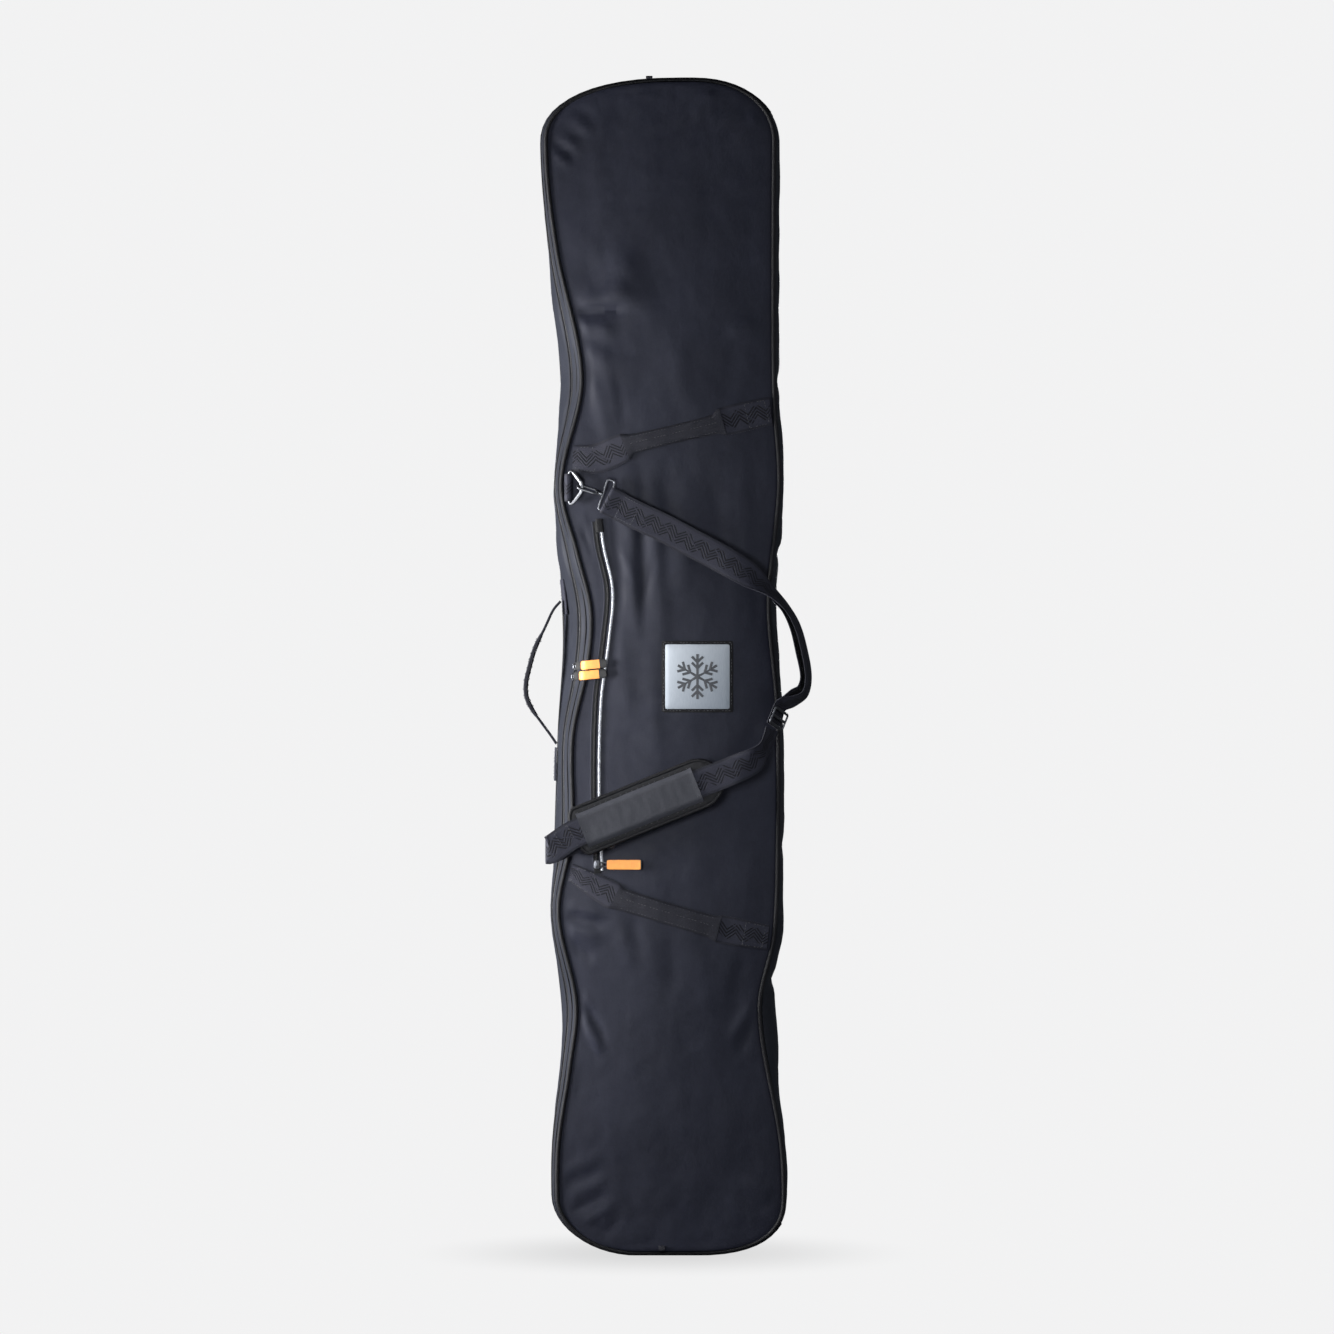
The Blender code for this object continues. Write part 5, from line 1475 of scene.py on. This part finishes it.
def front_sign(frames, at):
    return 1 if frames[at][2].y < 0 else -1


def sewn_end(name, frames, start, end):
    """Rows of stitches in a box that hold a strap's folded end."""
    sign = front_sign(frames, start)
    level = sign * (WEB_THICK / 2 + 0.0001)
    normals = [n * sign for _, _, n in frames[start:end]]
    parts = []
    for share in (-0.78, 0.78):
        parts.append(stitches(name, on_strap(frames, share, start, end, level), normals))
    for at in (start, end - 1):
        c, s, n = frames[at]
        row = [c + s * (STRAP_HALF * share) + n * level for share in spread(-0.78, 0.78, 8)]
        parts.append(stitches(name, row, [n * sign] * len(row)))
    return parts


def fold_over(frames, bar, reach):
    """Frames that carry a strap's end round a bar and back under itself."""
    centre, side, normal = frames[0]
    along = (frames[1][0] - centre).normalized()
    up = normal if normal.y < 0 else -normal
    turn_radius = 0.0031
    middle = bar + side * (centre - bar).dot(side)
    points = [middle - up * 0.0034 + along * reach, middle - up * 0.0034 + along * (reach * 0.5)]
    points += [middle - up * 0.0032 + along * 0.006]
    for t in spread(-math.pi / 2, math.pi / 2, 8):
        points.append(middle - along * (turn_radius * math.cos(t)) + up * (turn_radius * math.sin(t)))
    points += [middle + up * 0.0024 + along * 0.0050]
    places = refined([*points, centre + along * 0.006], 0.0012)
    made = []
    for i, place in enumerate(places):
        ahead = (places[min(i + 1, len(places) - 1)] - places[max(i - 1, 0)]).normalized()
        across_ = (side - ahead * side.dot(ahead)).normalized()
        made.append((place, across_, ahead.cross(across_).normalized()))
    return made


def build_strap():
    upper = fine_frames(strap_frames(UPPER_STRAP), 0.004)
    bar = hook_place(UPPER_RING_Z, HOOK_ANGLES[0])(HOOK_STEM + 0.0190, 0, 0)
    long_run = strap_web("strap_long_web", upper)
    fold = strap_web("strap_long_fold", fold_over(upper, bar, 0.034))
    sewn = sewn_end("strap_long_sewn", upper, 2, 9)
    put(join("strap_long_web", [long_run, fold]), "shoulder_strap", "charcoal_webbing", "shoulder_strap_long")
    put(join("strap_long_stitches", sewn), "shoulder_strap", "charcoal_webbing")
    doubled = fine_frames(strap_frames([DOUBLED_START, *DOUBLED_STRAP, *DOUBLED_END]), 0.004)
    doubled_run = strap_web("strap_doubled_web", doubled)
    put(doubled_run, "shoulder_strap", "charcoal_webbing", "shoulder_strap_doubled")
    lower = fine_frames(strap_frames(lower_strap_stations()), 0.0022)
    put(strap_web("strap_short_web", lower), "shoulder_strap", "charcoal_webbing", "shoulder_strap_short")
    start = next(i for i, f in enumerate(lower) if f[0].x < -0.128 and f[0].y < STRAP_Y + 0.004)
    sewn = sewn_end("strap_short_sewn", lower, start, start + 10)
    put(join("strap_short_stitches", sewn), "shoulder_strap", "charcoal_webbing")
    build_adjuster()


def build_adjuster():
    """The tri-glide: a rounded frame with a middle bar that the strap is threaded over."""
    centre, side, normal = strap_frames(UPPER_STRAP)[ADJUSTER_FRAME]
    along = side.cross(normal)
    centre = centre + normal * ADJUSTER_LIFT
    half, reach = ADJUSTER_WIDTH / 2 - ADJUSTER_ROD, ADJUSTER_LENGTH / 2 - ADJUSTER_ROD
    matrix = frame_matrix(centre, side, along, normal)
    ring = [(half, -reach), (half, reach), (-half, reach), (-half, -reach)]
    dense = []
    for (x0, y0), (x1, y1) in zip(ring, ring[1:] + ring[:1]):
        dense += [(x0 + (x1 - x0) * s, y0 + (y1 - y0) * s) for s in (0.06, 0.5, 0.94)]
    points = [matrix @ Vector((x, y, 0.0)) for x, y in dense]
    section = [(a * 1.0, b * 0.62) for a, b in circle(0.0020, 12)]
    round_frames = carried_frames(refined(points, 0.0012, True), tuple(normal), True)
    bars = [sweep("adjuster_frame", round_frames, section, GREY_METAL, True)]
    middle = [matrix @ Vector((x, 0.0, 0.0)) for x in spread(-half, half, 16)]
    bars.append(sweep("adjuster_bar", carried_frames(middle, tuple(normal)), section, GREY_METAL))
    put(join("adjuster_detail", bars), "adjuster", "dark_metal", "tri_glide")


# ---- rings and hooks ----

RING_ROD, RING_REACH = 0.0018, 0.0192
HOOK_ROD, HOOK_HALF, HOOK_STEM, HOOK_ANGLES = 0.0016, 0.0055, 0.0300, (-18, 12)
HOOK_ROLL = math.radians(30)
RING_LEAN = Vector((0.894, -0.448, 0.0))
RING_OUTLINE = [
    (0.0, 0.0110), (0.0, 0.0212), (0.0024, 0.0232), (0.0058, 0.0218), (0.0160, 0.0100), (0.0186, 0.0066),
    (0.0192, 0.0),
]
# turned pieces on the hook's line: (along, radius) steps
COLLAR_PROFILE = [
    (0.0268, 0.0014), (0.0270, 0.0030), (0.0280, 0.0034), (0.0292, 0.0034), (0.0298, 0.0030),
    (0.0302, 0.0016),
]
PIN_PROFILE = [
    (0.0306, 0.0018), (0.0310, 0.0030), (0.0322, 0.0032), (0.0326, 0.0026), (0.0340, 0.0026),
    (0.0344, 0.0033), (0.0366, 0.0033), (0.0374, 0.0020),
]


def ring_point(z, along, up):
    return Vector((*RING_AXIS, z)) + RING_LEAN * along + Vector((0, 0, up))


def hook_place(z, angle):
    """Turns (along, out, up) places of a hook into points."""
    turn = math.radians(angle)
    along = Vector((math.cos(turn), -0.13, math.sin(turn))).normalized()
    out = Vector((0, -1, 0))
    out = (out - along * out.dot(along)).normalized()
    start = ring_point(z, RING_REACH, 0.0) - along * HOOK_HALF
    up = along.cross(out)
    return lambda a, b, c: start + along * a + out * b + up * c


def lathe(name, place, profile, material):
    """A turned piece on a hook's own line, from (along, radius) steps."""
    side = (place(0, 1, 0) - place(0, 0, 0)).normalized()
    normal = (place(0, 0, 1) - place(0, 0, 0)).normalized()
    frames = [(place(a, 0, 0), side, normal) for a, _ in profile]
    radii = [r for _, r in profile]
    return sweep(name, frames, circle(1.0, 24), material, widths=radii, heights=radii)


def ring_plate(name, points):
    """A stamped D-ring: flat and broad on its two slanted arms, round on its straight bar."""
    places = refined(points, 0.0012, True)
    out = RING_LEAN.cross(Vector((0, 0, 1))).normalized()
    frames = carried_frames(places, tuple(out), True)
    wide = [1.0 + 0.55 * ease((p - places[0]).dot(RING_LEAN), 0.002, 0.010) for p in places]
    flat = [1.0 - 0.25 * ease((p - places[0]).dot(RING_LEAN), 0.002, 0.010) for p in places]
    return sweep(name, frames, circle(RING_ROD, 14), GUNMETAL, True, widths=wide, heights=flat)


def build_hardware():
    for which, z, angle in zip(("upper", "lower"), (UPPER_RING_Z, LOWER_RING_Z), HOOK_ANGLES):
        half = [ring_point(z, a, u) for a, u in RING_OUTLINE]
        lower = [ring_point(z, a, -u) for a, u in RING_OUTLINE[-2::-1]]
        ring = ring_plate(f"ring_{which}_plate", [ring_point(z, 0, 0), *half, *lower])
        put(ring, f"ring_{which}", "gunmetal", f"d_ring_{which}")
        x, y = RING_AXIS
        reach = RING_ROD + 0.0012
        foot = front_y(x - 0.006, z) - 0.0022
        stations = [(x - 0.0062, foot), (x - 0.002, y + reach + 0.0002)]
        stations += [(x + reach * math.sin(t), y + reach * math.cos(t)) for t in spread(0, math.pi, 6)]
        stations += [(x - 0.0035, y - reach + 0.0004), (x - 0.0066, foot - 0.0030)]
        frames = pull_frames([Vector((a, b, z)) for a, b in stations])
        loop = sweep(f"ring_loop_{which}_web", frames, band(0.0195, 0.0014), WEBBING)
        put(loop, "lid", "charcoal_webbing", f"d_ring_loop_{which}")
        place = hook_place(z, angle)
        nose = [(0.0262, -0.0052), (0.0284, -0.0030), (0.0290, 0.0), (0.0278, 0.0034), (0.0248, 0.0053)]
        nose += [(0.0210, HOOK_HALF), (0.0130, HOOK_HALF)]
        nose += [(HOOK_HALF * (1 - math.sin(t)), HOOK_HALF * math.cos(t)) for t in spread(0, math.pi, 6)]
        nose += [(0.0085, -HOOK_HALF)]

        def turned(a, b):
            return place(a, b * math.cos(HOOK_ROLL), b * math.sin(HOOK_ROLL))

        bend = [turned(a, b) for a, b in nose]
        hook = rod(f"hook_{which}_body", bend, HOOK_ROD, GUNMETAL, step=0.0008, sides=14)
        collar = lathe(f"hook_{which}_collar", place, COLLAR_PROFILE, GUNMETAL)
        put(join(f"hook_{which}_detail", [hook, collar]), f"hook_{which}", "gunmetal", f"snap_hook_{which}")
        line = [turned(a, -HOOK_HALF) for a in (0.0090, 0.0165, 0.0246)]
        gate = rod(f"gate_{which}_bar", line, 0.0013, GUNMETAL, step=0.001, sides=14)
        line = [turned(0.0165, -HOOK_HALF - b) for b in (0.0, 0.0012, 0.0024)]
        knuckle = rod(f"gate_{which}_lever", line, 0.0010, GUNMETAL, step=0.0006)
        put(join(f"gate_{which}_detail", [gate, knuckle]), f"gate_{which}", "gunmetal", f"hook_gate_{which}")
        pin = lathe(f"swivel_{which}_pin", place, PIN_PROFILE, GUNMETAL)
        put(pin, "shoulder_strap", "gunmetal", f"swivel_pin_{which}")
        low, high, wide = HOOK_STEM + 0.0082, HOOK_STEM + 0.0190, 0.0222
        side = [(low, 0), (low, wide - 0.002), (low + 0.002, wide)]
        side += [(high - 0.002, wide), (high, wide - 0.002), (high, 0)]
        ring = side + [(a, -c) for a, c in side[-2:0:-1]]
        line = [place(a, 0, c) for a, c in ring]
        eye = rod(f"strap_loop_{which}_wire", line, 0.0016, GREY_METAL, True, 0.0012, 14)
        put(eye, "shoulder_strap", "dark_metal", f"strap_loop_{which}")


# ---- shoulder pad ----


def pad_half(along):
    over = max(0.0, abs(along) - PAD_HALF_LENGTH) / PAD_TIPS[1 if along > 0 else 0]
    return PAD_HALF_WIDTH * math.sqrt(max(0.0, 1 - 0.92 * over**2))


def puffed(obj, pressure, frames, most, voxel):
    """Fills a closed shape with air under cloth and keeps each point near where it began."""
    remesh = obj.modifiers.new("remesh", "REMESH")
    remesh.mode, remesh.voxel_size = "VOXEL", voxel
    bpy.context.view_layer.objects.active = obj
    bpy.ops.object.modifier_apply(modifier="remesh")
    start = np.empty(len(obj.data.vertices) * 3)
    obj.data.vertices.foreach_get("co", start)
    cloth = obj.modifiers.new("cloth", "CLOTH")
    settings = cloth.settings
    settings.quality, settings.mass = 5, 0.15
    settings.tension_stiffness = settings.compression_stiffness = 25
    settings.bending_stiffness = 4.0
    settings.use_pressure, settings.uniform_pressure_force = True, pressure
    settings.effector_weights.gravity = 0.0
    cloth.collision_settings.use_collision = False
    cloth.point_cache.frame_start, cloth.point_cache.frame_end = 1, frames
    for frame_number in range(1, frames + 1):
        bpy.context.scene.frame_set(frame_number)
    graph = bpy.context.evaluated_depsgraph_get()
    puffed_mesh = obj.evaluated_get(graph).to_mesh()
    end = np.empty(len(puffed_mesh.vertices) * 3)
    puffed_mesh.vertices.foreach_get("co", end)
    obj.evaluated_get(graph).to_mesh_clear()
    obj.modifiers.remove(cloth)
    bpy.context.scene.frame_set(1)
    move = (end - start).reshape(-1, 3)
    size = np.linalg.norm(move, axis=1, keepdims=True)
    move *= np.minimum(1.0, most / np.maximum(size, 1e-9))
    obj.data.vertices.foreach_set("co", (start.reshape(-1, 3) + move).ravel())
    smoother = obj.modifiers.new("smooth", "SUBSURF")
    smoother.levels = smoother.render_levels = 1
    bpy.ops.object.modifier_apply(modifier="smooth")
    obj.data.shade_smooth()
    return obj


def build_pad():
    side = Vector((-math.sin(STRAP_ANGLE), 0.0, math.cos(STRAP_ANGLE)))
    outer, inner, edge = [], [], ([], [])
    ends = (-PAD_HALF_LENGTH - PAD_TIPS[0], PAD_HALF_LENGTH + PAD_TIPS[1])
    for k in range(49):
        t = k / 48
        along = ends[0] + (ends[1] - ends[0]) * (t - 0.25 * math.sin(2 * math.pi * t) / (2 * math.pi) * 1.6)
        half = pad_half(along)
        for grid, y in ((outer, PAD_FRONT_Y), (inner, PAD_BACK_Y)):
            middle = Vector(strap_line(along, y))
            grid.append([middle + side * (half * share) for share in spread(-1.0, 1.0, 12)])
        for line, share in zip(edge, (-1, 1)):
            line.append(Vector(strap_line(along, PAD_EDGE_Y)) + side * (half * share))
    pad = shell_mesh("pad_foam_cushion", outer, inner, (PAD_FABRIC, PAD_FABRIC))
    puffed(pad, 4.0, 16, 0.0009, 0.0024)
    put(pad, "pad", "pad_foam", "shoulder_pad")
    ring = edge[0] + edge[1][::-1]
    binding_rod = rod("pad_edge_binding", ring, 0.0030, BINDING, cyclic=True, step=0.0025, sides=12)
    put(binding_rod, "pad", "black_binding")
    build_sleeve(side)


def sleeve_y(along, share):
    """The sleeve lies over the strap and comes down to the pad's bound edges."""
    level = SLEEVE_FRONT_Y + 0.0066 * ease(abs(share), 0.56, 0.98)
    level += 0.0005 * ripple(along * 2, share * 0.03, 2.0, 0.02) * (1 - abs(share))
    return level - 0.0005 * math.cos(along * 38) * (1 - share**2)


def build_sleeve(side):
    outer, inner = [], []
    for along in spread(-PAD_HALF_LENGTH, PAD_HALF_LENGTH, 70):
        tops, lows = [], []
        hem = 0.0006 * math.exp(-(((PAD_HALF_LENGTH - abs(along)) / 0.004) ** 2))
        for share in spread(-1.0, 1.0, 28):
            at = strap_line(along, 0.0)
            y = sleeve_y(along, share)
            place = Vector((at[0], 0.0, at[2])) + side * ((PAD_HALF_WIDTH - 0.0006) * share)
            tops.append(place + Vector((0, y - hem, 0)))
            lows.append(place + Vector((0, y + SLEEVE_THICK, 0)))
        outer.append(tops)
        inner.append(lows)
    sleeve = shell_mesh("pad_sleeve_cloth", outer, inner, (SLEEVE_FABRIC, SLEEVE_FABRIC))
    put(sleeve, "pad", "navy_fabric", "shoulder_pad_cover")
    rows = []
    for share in (-0.80, 0.80):
        line = []
        for along in spread(-PAD_HALF_LENGTH + 0.002, PAD_HALF_LENGTH - 0.002, 60):
            at = strap_line(along, sleeve_y(along, share) - 0.0002)
            line.append(Vector(at) + side * (PAD_HALF_WIDTH * share))
        rows.append(stitches("sleeve_row", line, [Vector((0, -1, 0))] * len(line)))
    for along in (-0.082, -0.0855, 0.082, 0.0855):
        line = []
        for share in spread(-0.86, 0.86, 30):
            at = strap_line(along, sleeve_y(along, share) - 0.0003)
            line.append(Vector(at) + side * (PAD_HALF_WIDTH * share))
        rows.append(stitches("sleeve_end", line, [Vector((0, -1, 0))] * len(line)))
    put(join("sleeve_stitches", rows), "pad", "navy_fabric")


# ---- side grab handle ----

SIDE_HANDLE = [
    (-0.1485, 0.9340, 0.0060), (-0.1590, 0.9215, 0.0080), (-0.1706, 0.8970, 0.0120),
    (-0.1850, 0.8670, 0.0125), (-0.1940, 0.8366, 0.0125), (-0.1985, 0.8140, 0.0125),
    (-0.1970, 0.7950, 0.0125), (-0.1890, 0.7780, 0.0120), (-0.1750, 0.7580, 0.0120),
    (-0.1640, 0.7430, 0.0080), (-0.1545, 0.7290, 0.0060),
]
HANDLE_Y, HANDLE_HALF, GRIP_HALF, GRIP_THICK = 0.025, 0.0125, 0.0130, 0.0064
PATCHES = {"upper": (0.915, 0.965), "lower": (0.676, 0.724)}


def build_handle():
    frames = fine_frames(strap_frames([(x, HANDLE_Y, z, 1.0) for x, z, _ in SIDE_HANDLE]), 0.003)
    count = len(frames)
    halves = [(k / (len(SIDE_HANDLE) - 1), half / HANDLE_HALF) for k, (_, _, half) in enumerate(SIDE_HANDLE)]
    widths = [smooth(halves, k / (count - 1)) for k in range(count)]
    parts = [sweep("handle_flat", frames, band(HANDLE_HALF, 0.0036), WEBBING, widths=widths)]
    low, high = count * 24 // 100, count * 80 // 100
    grip = frames[low:high]
    taper = [min(1.0, 0.62 + 0.38 * math.sqrt(min(i, len(grip) - 1 - i) / 6)) for i in range(len(grip))]
    section = band(GRIP_HALF, GRIP_THICK)
    parts.append(sweep("handle_grip", grip, section, PLAIN_WEBBING, widths=taper, heights=taper))
    put(join("handle_web", parts), "side_handle", "charcoal_webbing", "side_handle")
    rows = []
    for share, lift in ((-0.84, 0.0033), (0.84, 0.0033), (-0.84, -0.0033), (0.84, -0.0033)):
        line = [c + s * (GRIP_HALF * share) + n * lift for c, s, n in grip[3:-3]]
        normals = [n * (1 if lift > 0 else -1) for _, _, n in grip[3:-3]]
        rows.append(stitches("handle_row", line, normals))
    put(join("handle_stitches", rows), "side_handle", "charcoal_webbing")
    for which, (low, high) in PATCHES.items():
        outer, inner, around = [], [], []
        for z in spread(low, high, 16):
            ends = ((smooth(FRONT_LEFT, z), z, -1.0, 0.0), (smooth(BACK_LEFT, z), z, -1.0, 0.0))
            places = spread(0.60, 0.80, 10)
            outer.append([gusset_at(*ends, p, 0.0036 + 0.0001 * math.sin(p * 80)) for p in places])
            inner.append([gusset_at(*ends, p, 0.0020) for p in places])
            around.append(ends)
        patch = shell_mesh(f"handle_patch_{which}_web", outer, inner, (WEBBING, WEBBING))
        put(patch, "shell", "charcoal_webbing", f"handle_patch_{which}")
        corners = [(1, 0.615), (15, 0.615), (15, 0.785), (1, 0.785), (1, 0.615), (15, 0.785)]
        line = []
        for (i0, p0), (i1, p1) in zip(corners, corners[1:]):
            for share in spread(0.0, 1.0, 8)[:-1]:
                ends = around[round(i0 + (i1 - i0) * share)]
                line.append(gusset_at(*ends, p0 + (p1 - p0) * share, 0.0038))
        normals = [Vector((-1, 0, 0))] * len(line)
        sewn = stitches(f"patch_{which}_stitches", line, normals)
        put(sewn, "shell", "charcoal_webbing")


# ---- studio ----


def studio():
    """Pale paper all round that lights itself, with a painted shadow round the foot, a strong lamp on the
    left and weaker ones about.
    """
    scene = bpy.context.scene
    scene.view_settings.view_transform = "Standard"
    world = bpy.data.worlds.new("studio")
    scene.world = world
    world.use_nodes = True
    world.node_tree.nodes["Background"].inputs["Color"].default_value = (0.86, 0.92, 1.0, 1)
    world.node_tree.nodes["Background"].inputs["Strength"].default_value = 0.07
    # a round floor that turns up into a wall, so the object has the same ground from every side
    profile = [(0.5, 0.0), (5.0, 0.0), (9.0, 0.0), (11.0, 0.3), (12.2, 1.6), (12.6, 4.0), (12.6, 14.0)]
    sides = 72
    verts = [(0.0, 0.0, -0.0004)]
    for reach, rise in profile:
        turns = [2 * math.pi * k / sides for k in range(sides)]
        verts += [(reach * math.cos(t), reach * math.sin(t), rise - 0.0004) for t in turns]
    faces = [(0, 1 + k, 1 + (k + 1) % sides) for k in range(sides)]
    for ring in range(len(profile) - 1):
        base = 1 + ring * sides
        for k in range(sides):
            following = (k + 1) % sides
            faces.append((base + k, base + following, base + sides + following, base + sides + k))
    paper = bpy.data.materials.new("paper")
    paper.use_nodes = True
    shader = paper.node_tree.nodes["Principled BSDF"]
    shader.inputs["Base Color"].default_value = (0.0, 0.0, 0.0, 1)
    shader.inputs["Roughness"].default_value = 0.9
    shader.inputs["Specular IOR Level"].default_value = 0.0
    shader.inputs["Emission Color"].default_value = (1.0, 1.0, 1.004, 1)
    # the painted shadow: a soft shade painted into the paper's glow round the foot
    nodes, links = paper.node_tree.nodes, paper.node_tree.links
    wide = nodes.new("ShaderNodeMapping")
    wide.inputs["Scale"].default_value = (2.6, 2.6, 2.6)
    links.new(nodes.new("ShaderNodeTexCoord").outputs["Object"], wide.inputs["Vector"])
    reach = nodes.new("ShaderNodeVectorMath")
    reach.operation = "LENGTH"
    links.new(wide.outputs[0], reach.inputs[0])
    # painted shadow: the glow falls from full far out to dimmer at the foot
    shade = nodes.new("ShaderNodeMapRange")
    shade.interpolation_type = "SMOOTHSTEP"
    for key, value in (("From Min", 0.10), ("From Max", 1.0), ("To Min", 0.70), ("To Max", 0.888)):
        shade.inputs[key].default_value = value
    links.new(reach.outputs["Value"], shade.inputs["Value"])
    links.new(shade.outputs[0], shader.inputs["Emission Strength"])
    floor = mesh_object("backdrop", verts, faces, paper)
    floor.visible_diffuse = floor.visible_glossy = False
    for name, place, size, power, colour in (
        ("key", (-2.2, -0.36, 0.85), 0.9, 190.0, (1.0, 0.99, 0.98)),
        ("front", (-0.45, -1.35, 0.80), 0.5, 13.5, (0.96, 0.98, 1.0)),
        ("right", (4.0, -3.0, 1.2), 2.0, 34.0, (0.95, 0.97, 1.0)),
        ("rear", (0.0, 3.8, 1.1), 1.2, 90.0, (0.96, 0.98, 1.0)),
        ("side", (3.6, -0.6, 1.0), 1.6, 9.0, (0.96, 0.98, 1.0)),
    ):
        data = bpy.data.lights.new(name, "AREA")
        data.energy, data.size, data.color = power, size, colour
        lamp = bpy.data.objects.new(name, data)
        bpy.context.scene.collection.objects.link(lamp)
        lamp.location = place
        lamp.visible_camera = False
        lamp.rotation_euler = (Vector((0, 0, 0.84)) - Vector(place)).to_track_quat("-Z", "Y").to_euler()


build_body()
build_main_zip()
build_main_pulls()
build_pocket()
build_hauls()
build_label()
build_strap()
build_hardware()
build_pad()
build_handle()
studio()
